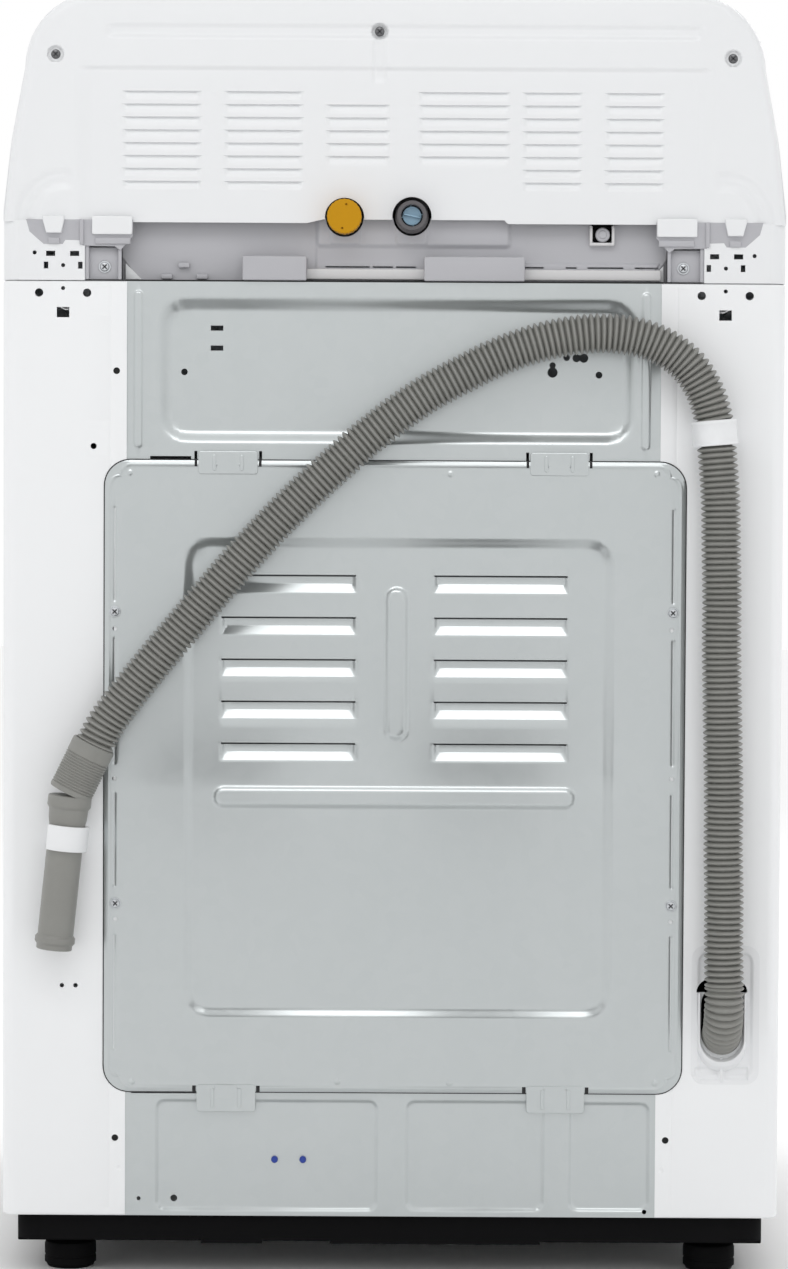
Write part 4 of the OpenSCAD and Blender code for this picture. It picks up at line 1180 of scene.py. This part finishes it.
def make_rear_shelf():
    y = REAR - 16
    features = [Press((67.5, 250), (870, 945), 3, -1.2, 3),
                Press((-103.5, 70), (907, 955), 6, 3.4, 5),
                Press((29, 58), (909.5, 955), 5, 1.6, 3), Press((-30, 0), (909.5, 955), 5, 1.6, 3),
                Press((-236, -110), (870, 897), 3, 1.6, 3)]
    xs, zs = sheet_grid((-238, 238), (878.8, 934), features, 12)

    def place(px, pz):
        edge = min(242.0, 244 - (906 - pz) * 0.75)
        wide = px if abs(px) < 215 else math.copysign(215 + (abs(px) - 215) * (edge - 215) / 23, px)
        return Vector((wide, y + relief(features, px, pz), pz))

    bm = pressed_sheet(xs, zs, place)
    thicken(bm, 2.4)
    shelf = piece("rear_shelf_moulding", bm, "grey_plastic", replaces=["rear_shelf"], sharp=38)
    cutter = bmesh.new()
    for at in (HOT, COLD):
        add_drill(cutter, at, 290, 16.4, 60)
    add_outline(cutter, rounded_outline((-191.5, -172.5), (912.8, 936), 5), (-6, 12),
                turn=facing_rear(y))
    for a, b in ((21.8, 60.7), (1.3, 19.2), (-18.7, -1.3), (-131, -114), (-160, -150.5),
                 (-201, -169.5), (-232, -211)):
        add_box(cutter, (a, b), (y - 6, y + 6), (890.8, 892.2))
    cut(shelf, cutter, True)

    bm = bmesh.new()
    for a, b in ((77, 133), (-114, -26)):
        add_box(bm, (a, b), (y - 1, REAR + 3), (878.8, 900), 1.3, 3)
    for px, pz in ((185, 892), (200, 882), (169, 882)):
        add_box(bm, (px - 5, px + 5), (y - 1, y + 4), (pz - 2, pz + 2.4), 1.0)
    for side in (1, -1):
        # channel for the corner screw, with a sloping web up to the console's hook
        def span(a, b):
            return (side * a, side * b) if side > 0 else (side * b, side * a)
        add_box(bm, span(239, 271), (y - 1, REAR - 6), (878.8, 907), 0.8)
        add_box(bm, span(239, 242), (y - 1, REAR - 1.5), (878.8, 908), 0.8)
        add_box(bm, span(267.5, 271), (y - 1, REAR - 1.5), (878.8, 914), 0.8)
        add_box(bm, span(219, 240), (y - 6, y - 3), (878.8, 912), 0.8)
    piece("shelf_blocks", bm, "grey_plastic", sharp=38)

    bm = bmesh.new()
    for side in (1, -1):
        gusset = [(side * a, b) for a, b in ((236.5, 894), (236.5, 879.5), (222, 879.5))]
        add_outline(bm, gusset, (0, 2.5), 0.6, facing_rear(y - 2))
    piece("shelf_gussets", bm, "white_plastic", sharp=38)
    bm = bmesh.new()
    for a, b in ((-27, 78), (-234, -113)):
        add_box(bm, (a, b), (y - 1, y + 5.5), (880.2, 889.6), 1.2, 3)
    piece("shelf_light_strip", bm, "strip_plastic", sharp=38)
    # dark strip in the seam under the shelf: painted shade in the gap between the shelf and the
    # brace
    bm = bmesh.new()
    add_box(bm, (-236, 236), (y - 2, y + 6), (877.2, 879.2))
    piece("shelf_seam_shade", bm, "dark_rubber")


def make_inlets():
    y = REAR - 4
    bm = bmesh.new()
    for at in (HOT, COLD):
        profile = [(9.3, -30), (14.5, -24), (14.5, -4.2), (13.6, -3.4), (12.3, -2.6)]
        h = -2.0
        while h < 14:
            profile += [(12.3, h), (13.1, h + 0.7), (13.1, h + 1.1), (12.3, h + 1.8)]
            h += 1.9
        profile += [(12.6, 16.2), (13.1, 16.8), (13.1, 17.4), (12.6, 18), (10.1, 18), (9.5, 17.4),
                    (9.3, 15), (9.3, -30)]
        add_turned(bm, profile, rear_axis(at, y), 48)
        add_box(bm, (at[0] - 15, at[0] + 15), (252, 291), (at[1] - 14, at[1] + 20), 2.0, 3)
        coil = [(0, 0), (11, 0), (12, 1), (12, 30), (11, 31), (5, 31), (4.5, 32), (0, 32)]
        add_turned(bm, coil, Matrix.Translation((at[0], 270, at[1] + 20)), 32)
    piece("inlet_valves", bm, "valve_grey", replaces=["hot_inlet_valve", "cold_inlet_valve"],
          sharp=35)
    bm = bmesh.new()
    add_turned(bm, [(0, 0), (9.25, 0), (9.25, 1), (0, 1)], rear_axis(COLD, y - 5), 40)
    piece("inlet_bore_shadow", bm, "black_plastic")

    # screen with a grip rib and four thin legs to the bore
    bm = bmesh.new()
    disc = [(0, 2), (6.6, 2), (7.0, 2.3), (7.9, 2.3), (8.3, 1.9), (8.3, -6), (0, -6)]
    add_turned(bm, disc, rear_axis(COLD, y + 9), 48)
    for k in range(4):
        add_box(bm, (7.6, 9.4), (-0.35, 0.35), (0, 1.9), turn=rear_axis(COLD, y + 9)
                @ Matrix.Rotation(math.radians(90 * k + 8), 4, "Z"))
    add_box(bm, (-7.3, 7.3), (-0.8, 0.8), (1.5, 5.0), 0.5, turn=rear_axis(COLD, y + 9)
            @ Matrix.Rotation(math.radians(-12), 4, "Z"))
    piece("inlet_screen", bm, "filter_plastic", replaces=["cold_inlet_filter"], sharp=35)

    # transport cap with a scalloped rim and two pin holes
    bm = bmesh.new()
    add_outline(bm, scalloped(HOT, 15.0, 0.2, 24, 144), (0, 20.6), 0.9, facing_rear(313.2), 3)
    cap = piece("hot_transport_cap", bm, "amber_plastic", "hot_cap", ["hot_inlet_cap"], sharp=40)
    cutter = bmesh.new()
    for dz in (-10.5, 10.2):
        add_drill(cutter, (HOT[0] - dz * 0.17, HOT[1] + dz), 333, 0.95, 6, 16)
    add_drill(cutter, HOT, 311.5, 13.25, 40)
    cut(cap, cutter)

    # cord gland: a light U rim round a recess whose shade is painted by a black plate, with a round
    # plug
    at = (-182, 921)
    bm = bmesh.new()
    add_outline(bm, rounded_outline((at[0] - 8.6, at[0] + 8.6), (at[1] - 7.4, at[1] + 7.4), 4),
                (0, 4), 0.0, facing_rear(REAR - 18.5))
    piece("gland_recess_shade", bm, "black_plastic", replaces=["cord_gland"])
    bm = bmesh.new()
    for x, z in (((-11, -8.4), (-8, 7.4)), ((8.4, 11), (-8, 7.4)), ((-11, 11), (-10.2, -7.4))):
        add_box(bm, (at[0] + x[0], at[0] + x[1]), (REAR - 17, REAR - 10),
                (at[1] + z[0], at[1] + z[1]), 1.0)
    piece("gland_rim", bm, "strip_plastic", sharp=40)
    bm = bmesh.new()
    plug = [(0, 9.5), (3.2, 9.5), (3.6, 8.6), (5.4, 8.4), (6.2, 7.6), (6.4, 6.4), (6.4, 0), (0, 0)]
    add_turned(bm, plug, rear_axis((at[0] - 0.5, at[1] - 0.5), REAR - 19), 36)
    piece("gland_plug", bm, "grey_plastic", sharp=35)


def make_outlet():
    """White moulding in the pocket, with a cup under the elbow of the hose."""
    px = OUTLET[0]
    features = [Press((-320, -270), (178, 291), 10, -1.6, 3.5),
                Press((-316, -294.2), (176.5, 188.5), 1.5, -1.6, 1.4),
                Press((-289.8, -268), (176.5, 188.5), 1.5, -1.6, 1.4)]
    xs, zs = sheet_grid(*POCKET, features, 6)

    def place(x, z):
        x, z, _ = on_round_corner(x, z, *POCKET, POCKET_CORNER)
        return Vector((x, REAR + 0.3 + relief(features, x, z), z))

    bm = pressed_sheet(xs, zs, place)
    thicken(bm, 2.0)
    plate = piece("outlet_plate", bm, "white_plastic", replaces=["drain_outlet"], sharp=38)
    cutter = bmesh.new()
    arch = [(px + 22.5 * math.cos(math.radians(a)), 255 + 14 * math.sin(math.radians(a)))
            for a in range(0, 181, 9)]
    add_outline(cutter, [(px + 22.5, 254.5)] + arch[1:-1] + [(px - 22.5, 254.5)], (-8, 8), 0,
                facing_rear(REAR))
    cut(plate, cutter)
    cutter = bmesh.new()
    add_outline(cutter, rounded_outline((px - 18.2, px + 18.2), (200, 262), 18), (-8, 8), 0,
                facing_rear(REAR))
    cut(plate, cutter)

    # cup: a U that slopes out from round the hose
    rings = []
    bm = bmesh.new()
    for out, r, tall, low in ((-6, 18.2, 252, 196.5), (-1.5, 18.4, 253, 196),
                              (4.5, 18.9, 254, 194.5),
                              (5.6, 19.6, 254.4, 193.5), (5.2, 20.6, 254.6, 191),
                              (3.0, 21.1, 254.6, 188), (-1.6, 21.6, 254.6, 184.6)):
        ring = []
        for k in range(33):
            a = math.pi * k / 32
            ring.append(bm.verts.new((px + r * math.cos(a), REAR + out,
                                      low + r * 1.02 - r * 1.02 * math.sin(a))))
        ring = [bm.verts.new((px + r, REAR + out, tall))] + ring
        ring.append(bm.verts.new((px - r, REAR + out, tall)))
        rings.append([bm.edges.new(pair) for pair in zip(ring, ring[1:])])
    for low, high in zip(rings, rings[1:]):
        bmesh.ops.bridge_loops(bm, edges=low + high)
    bmesh.ops.holes_fill(bm, edges=[e for e in bm.edges if e.is_boundary], sides=0)
    bmesh.ops.recalc_face_normals(bm, faces=bm.faces)
    add_box(bm, (px - 1.3, px + 1.3), (REAR - 2, REAR + 1.0), (175, 197), 0.6)
    piece("outlet_cup", bm, "white_plastic", sharp=50)
    bm = bmesh.new()
    add_outline(bm, rounded_outline((px - 24, px + 24), (190, 272), 10), (0, 1), 0,
                facing_rear(REAR - 30))
    piece("outlet_shadow_plate", bm, "black_plastic")


# ------------------------------------------------------------------ lid, controls and dispenser

DECK = (Matrix.Translation((0, 150, 985)) @ Matrix.Rotation(math.radians(4), 4, "X"))
FACE = (Matrix.Translation((0, 192, 1048.5))
        @ Matrix.Rotation(math.atan2(1112 - 985, 226 - 158), 4, "X"))


def make_lid():
    softened("lid_frame_moulding", "lid_frame", "white_plastic", 1.1, "lid", 3)
    softened("lid_glass_pane", "lid_glass", "smoked_glass", 0.5, "lid")
    softened("lid_strike_hook", "lid_strike", "white_plastic", 0.8, "lid")
    # printed border on the glass, with a bright trim line round it
    view = ((-196, 196), (-431, -61), 32, 10)
    flat_ring("lid_glass_border", "panel_gloss", "lid", DECK,
              ((-211, 211), (-446, -46), 44, 10), view, (5.0, 5.25), 0.0, (2, 8))
    flat_ring("lid_glass_trim", "silver_trim", "lid", DECK,
              ((-198.5, 198.5), (-433.5, -58.5), 34, 10), view, (5.2, 5.9), 0.3, (2, 8))
    bm = bmesh.new()
    for x in (-150, 150):
        add_turned(bm, [(0, 0), (5, 0), (5, -2), (4.4, -2.6), (0, -2.6)], DECK
                   @ Matrix.Translation((x, -466, -10)), 20)
    piece("lid_bumpers", bm, "dark_rubber", "lid")


def make_controls():
    softened("control_overlay", "control_panel", "panel_gloss", 0.35)
    # scale round the knob, indicator dots and a trim line round the overlay
    bm = bmesh.new()
    printed = (2.4, 2.62)
    for k in range(12):
        add_box(bm, (-0.6, 0.6), (37.5, 43.5), printed,
                turn=FACE @ Matrix.Rotation(math.radians(30 * k), 4, "Z"))
    for k in range(36):
        if k % 3:
            add_box(bm, (-0.35, 0.35), (39.5, 42), printed,
                    turn=FACE @ Matrix.Rotation(math.radians(10 * k), 4, "Z"))
    for x in (84, 98, 112, 126, 140, 154, 168, 176):
        add_turned(bm, [(0, 0.25), (1.3, 0.25), (1.5, 0), (0, 0)],
                   FACE @ Matrix.Translation((x, -31, 2.42)), 16)
    for x in (-235, -150, -95, 235):
        for k in range(3):
            add_box(bm, (x - 9 + 7 * k, x - 5 + 7 * k), (13.5, 14.6), printed, turn=FACE)
    piece("control_marks", bm, "mark_white", sharp=30)
    flat_ring("control_trim", "silver_trim", "machine", FACE, ((-287, 287), (-55, 55), 15.5, 8),
              ((-285.6, 285.6), (-53.6, 53.6), 14.2, 8), (2.3, 2.9), 0.25, (0, 6))

    bm = bmesh.new()
    add_outline(bm, rounded_outline((80.3, 179.7), (-21.7, 21.7), 3.8, 6), (1.0, 2.38), 0.25, FACE)
    piece("display_pane", bm, "display_black", replaces=["display_window"], sharp=30)

    # seven-bar figures behind the window
    bars = {"a": (0, 9, 6, 1), "b": (3.6, 4.8, 1, 7), "c": (3.6, -4.8, 1, 7), "d": (0, -9, 6, 1),
            "e": (-3.6, -4.8, 1, 7), "f": (-3.6, 4.8, 1, 7), "g": (0, 0, 6, 1)}
    bm = bmesh.new()
    for x, on in ((104, "abcdef"), (122, "bcfg"), (138, "afgcd")):
        for key in on:
            bx, bz, w, h = bars[key]
            add_box(bm, (x + bx - w / 2, x + bx + w / 2), (bz - h / 2, bz + h / 2),
                    (2.41, 2.55), turn=FACE)
    piece("display_figures", bm, "display_glow", sharp=30)

    # knob: fluted grip on a flange, with a pointer line
    bm = bmesh.new()
    add_outline(bm, scalloped((0, 0), 29.2, 0.55, 40, 240), (6.0, 21.0), 0.9, FACE, 3)
    add_turned(bm, [(0, 3.0), (32.3, 3.0), (33, 3.6), (33, 5.2), (32.4, 6), (0, 6)], FACE, 64)
    add_turned(bm, [(0, -12), (5, -12), (5, 4), (0, 4)], FACE, 24)
    piece("dial_knob", bm, "silver_trim", "knob", ["control_knob"], sharp=40)
    bm = bmesh.new()
    add_turned(bm, [(0, 21.6), (24.5, 21.6), (26.4, 21.3), (27.2, 20.8), (0, 20.6)], FACE, 64)
    piece("dial_cap", bm, "panel_gloss", "knob", sharp=30)
    bm = bmesh.new()
    add_box(bm, (-0.8, 0.8), (14, 25), (21.4, 21.9), 0.2, turn=FACE)
    piece("dial_pointer", bm, "mark_white", "knob")

    for node, body, x in (("power_button", "power_key", -235), ("start_button", "start_key", 235),
                          ("soil_button", "soil_key", -150), ("spin_button", "spin_key", -95)):
        bm = bmesh.new()
        add_outline(bm, rounded_outline((x - 18, x + 18), (-8.5, 8.5), 3.5, 6), (-3, 4.5), 0.9,
                    FACE, 3)
        add_turned(bm, [(0, 4.7), (2.2, 4.7), (2.6, 4.4), (0, 4.3)],
                   FACE @ Matrix.Translation((x, 0, 0)), 24)
        piece(node + "_cap", bm, "silver_trim", body, [node], sharp=35)


def make_dispenser():
    softened("dispenser_box", "dispenser_housing", "tub_plastic", 0.6)
    softened("drawer_moulding", "detergent_drawer", "white_plastic", 0.8, "drawer")


# ------------------------------------------------------------------ drum, drive and hoses


def around_drum(radius, turn, z):
    """A point at a radius and turn, in degrees, about the drum's axis."""
    a = math.radians(turn)
    return Vector((radius * math.cos(a), DRUM_Y + radius * math.sin(a), z))


DRUM = Matrix.Translation((0, DRUM_Y, 0))


def turned_grid(bm, radii, place, columns):
    """Closed rings of corners, one for each row, bridged row by row."""
    rings = []
    for row in radii:
        verts = [bm.verts.new(place(row, 360 * k / columns)) for k in range(columns)]
        rings.append([bm.edges.new((verts[k], verts[(k + 1) % columns])) for k in range(columns)])
    for low, high in zip(rings, rings[1:]):
        bmesh.ops.bridge_loops(bm, edges=low + high)
    return rings


def make_basket():
    """Drum wall with perforations between pressed ribs, and a stepped floor."""
    columns, rows = 216, 62
    low, high = 319, 805.5
    bm = bmesh.new()

    def wall(z, turn):
        rib = max(0.0, math.cos(math.radians(turn * 12))) ** 6
        fade = ease((z - 340) / 40) * ease((790 - z) / 40)
        return around_drum(265.2 - 5.0 * rib * fade, turn, z)

    zs = [low + (high - low) * k / rows for k in range(rows + 1)]
    turned_grid(bm, zs, wall, columns)
    drop = []
    for face in bm.faces:
        c = face.calc_center_median()
        column = round((math.degrees(math.atan2(c.y - DRUM_Y, c.x)) % 360) / 360 * columns - 0.5)
        row = int((c.z - low) / (high - low) * rows)
        if 4 < row < rows - 4 and row % 3 == 0 and column % 3 == (row // 3) % 2:
            drop.append(face)
    bmesh.ops.inset_individual(bm, faces=drop, thickness=2.0, depth=0.0)
    bmesh.ops.delete(bm, geom=drop, context="FACES")
    thicken(bm, 1.2, lambda f: f.calc_center_median() - Vector((0, DRUM_Y,
                                                                 f.calc_center_median().z)))
    floor = [(30, 318.4), (60, 318.4), (62, 319.2), (264, 319.2), (264, 320.4), (61, 320.4),
             (30, 319.6), (30, 318.4)]
    add_turned(bm, floor, DRUM, 96)
    piece("basket_drum", bm, "stainless_steel", "basket", ["wash_basket"], sharp=40)

    bm = bmesh.new()
    profile = [(240.5, 806), (271.5, 806), (272, 806.8), (272, 812), (270.6, 813.4), (270.6, 816),
               (272, 817.4), (272, 837), (270, 842), (266, 845.6), (262, 846), (250, 846),
               (246, 845.6), (240, 840), (238, 836), (238.2, 820), (240, 807), (240.5, 806)]
    add_turned(bm, profile, DRUM, 120)
    for k in range(24):
        add_box(bm, (242, 266), (-2, 2), (845.2, 846), 0.3,
                turn=DRUM @ Matrix.Rotation(math.radians(15 * k), 4, "Z"))
    piece("balance_ring_moulding", bm, "plate_plastic", "basket", ["balance_ring"], sharp=35)

    bm = bmesh.new()
    profile = [(234.5, 871.4), (236.5, 872), (238, 871.2), (238, 857.6), (240, 857), (290, 857),
               (297, 856.4), (298, 855), (298, 852), (236, 852), (234, 853), (234, 870.6),
               (234.5, 871.4)]
    add_turned(bm, profile, DRUM, 120)
    for k in range(12):
        add_turned(bm, [(0, 857), (5, 857), (5, 858.8), (4.3, 859.4), (0, 859.4)],
                   Matrix.Translation(around_drum(288, 30 * k + 15, 0)), 16)
    piece("tub_cover_ring", bm, "tub_plastic", replaces=["tub_cover"], sharp=35)


def make_wash_plate():
    """Low turning plate: three curved vanes on a dished disc, with a cap at the middle."""
    bm = bmesh.new()
    columns, rows = 240, 60
    inner, outer = 0.5, 230.5
    radii = [inner + (outer - inner) * (k / rows) for k in range(rows + 1)]

    def top(r, turn):
        z = 360 - 24 * ease(r / 150) - 8 * ease((r - 205) / 25)
        lead = turn + 26 * (r / 230)
        vane = max(0.0, math.cos(math.radians(6 * lead / 2))) ** 14
        z += 13 * vane * ease((r - 45) / 40) * ease((222 - r) / 26)
        ripple = max(0.0, math.cos(math.radians(30 * lead))) ** 4
        z += 1.4 * ripple * ease((r - 120) / 20) * ease((205 - r) / 20) * (1 - min(1, 2 * vane))
        return around_drum(r, turn, z)

    rings = turned_grid(bm, radii, top, columns)
    rim = turned_grid(bm, [(231.8, 326.5), (231.2, 324.4), (10, 324.4)],
                      lambda row, turn: around_drum(row[0], turn, row[1]), columns)
    bmesh.ops.bridge_loops(bm, edges=rings[-1] + rim[0])
    bmesh.ops.holes_fill(bm, edges=[e for e in bm.edges if e.is_boundary], sides=0)
    bmesh.ops.recalc_face_normals(bm, faces=bm.faces)
    piece("wash_plate_moulding", bm, "plate_plastic", "plate_drive", ["wash_plate"], sharp=40)
    bm = bmesh.new()
    cap = [(0, 364.2), (16, 364), (24, 362.6), (28, 360.6), (29, 358), (0, 357)]
    add_turned(bm, cap, DRUM, 48)
    piece("wash_plate_cap", bm, "silver_trim", "plate_drive", sharp=35)


def make_inner_hoses():
    for name, route, r, side, node in (
            ("sump_hose", [(-150, 118, 262), (-150, 118, 225), (-158, 128, 190), (-176, 149, 150),
                           (-196, 173, 122), (-214, 194, 110), (-232, 215, 108)], 21,
             (0.75, -0.66, 0), "pump_hoses"),
            ("lift_hose", [(-286, 215, 150), (-286, 217, 178), (-288, 226, 202), (-291, 244, 213),
                           (-292, 262, 214), (-292, 272, 214)], 15, (1, 0, 0), None),
            ("inlet_hose", [(-31, 272, 938), (-60, 272, 938), (-95, 272, 938), (-120, 271, 937),
                            (-131, 268, 932), (-135, 265, 924)], 8, (0, 1, 0), "fill_hose")):
        path = smooth_path(route, 2.5)
        ribs = corrugation(12.5, r, r - 1.2) if r == 21 else (lambda s, r=r: r - 0.2)
        bm = bmesh.new()
        sweep(bm, path, ribs, 24, side)
        ends = ((path[1], path[5]), (path[-5], path[-2]))
        for a, b in ends:
            band = [(r - 1.4, 0), (r, 0), (r, 1.2), (r - 0.2, 1.4), (r - 0.2, 5.6), (r, 5.8),
                    (r, 7), (r - 1.4, 7), (r - 1.4, 0)]
            add_turned(bm, band, pointing(a, b), 24)
        piece(name, bm, "dark_rubber", replaces=[node] if node else (), sharp=50)


def make_springs_and_feet():
    reach, radius, low, tall = 262, 11, 357, 64
    turns, steps = 5, 20
    bm = bmesh.new()
    for sx in (-1, 1):
        for sy in (-1, 1):
            coil = []
            for k in range(turns * steps + 1):
                a = math.tau * k / steps
                coil.append(Vector((sx * reach + radius * math.cos(a), DRUM_Y + sy * reach
                                    + radius * math.sin(a), low + tall * k / (turns * steps))))
            sweep(bm, coil, lambda s: 1.95, 8, (0, 0, 1))
    piece("suspension_coils", bm, "zinc_steel", replaces=["suspension_springs"], sharp=60)

    for node, body, x, y in (("foot_front_left", "foot_fl", -286, -290),
                             ("foot_front_right", "foot_fr", 286, -290),
                             ("foot_rear_left", "foot_rl", -286, 266),
                             ("foot_rear_right", "foot_rr", 286, 266)):
        bm = bmesh.new()
        pad = [(0, 0), (19, 0), (20.5, 0.6), (21.5, 3), (23, 4), (23, 9), (22.4, 9.6), (22.4, 11),
               (23, 11.6), (23, 20), (22, 22.6), (19, 24), (0, 24)]
        add_turned(bm, pad, Matrix.Translation((x, y, 0)), 40)
        stem = [(0, 23), (5.4, 23)]
        h = 24.0
        while h < 57:
            stem += [(5.4, h), (5.95, h + 0.5), (5.95, h + 0.8), (5.4, h + 1.3)]
            h += 1.5
        add_turned(bm, stem + [(5.4, 58), (0, 58)], Matrix.Translation((x, y, 0)), 24)
        piece(node + "_moulding", bm, "black_plastic", body, [node], sharp=35)


# ------------------------------------------------------------------ putting it together

FINISH = make_materials()


def paint_cad_nodes():
    """CAD nodes that stay get their finish in every one of their material slots."""
    finish_of = {row["node"]: row["material_slot"] for row in frame["record"]["subparts"]}
    for name, node in frame["nodes"].items():
        node.data.materials.clear()
        node.data.materials.append(FINISH[finish_of[name]])


paint_cad_nodes()
studio_camera()
make_hose()
studio()
make_clips()
make_cabinet()
make_rear_cover()
make_rear_braces()
make_rear_screws()
make_console_back()
make_rear_shelf()
make_inlets()
make_outlet()
softened("console_shell", "console_housing", "white_plastic", 1.0)
softened("top_cover_moulding", "top_cover", "white_plastic", 0.8)
softened("base_moulding", "base_frame", "black_plastic", 1.2)
make_lid()
make_controls()
make_dispenser()
make_basket()
make_wash_plate()
make_inner_hoses()
make_springs_and_feet()
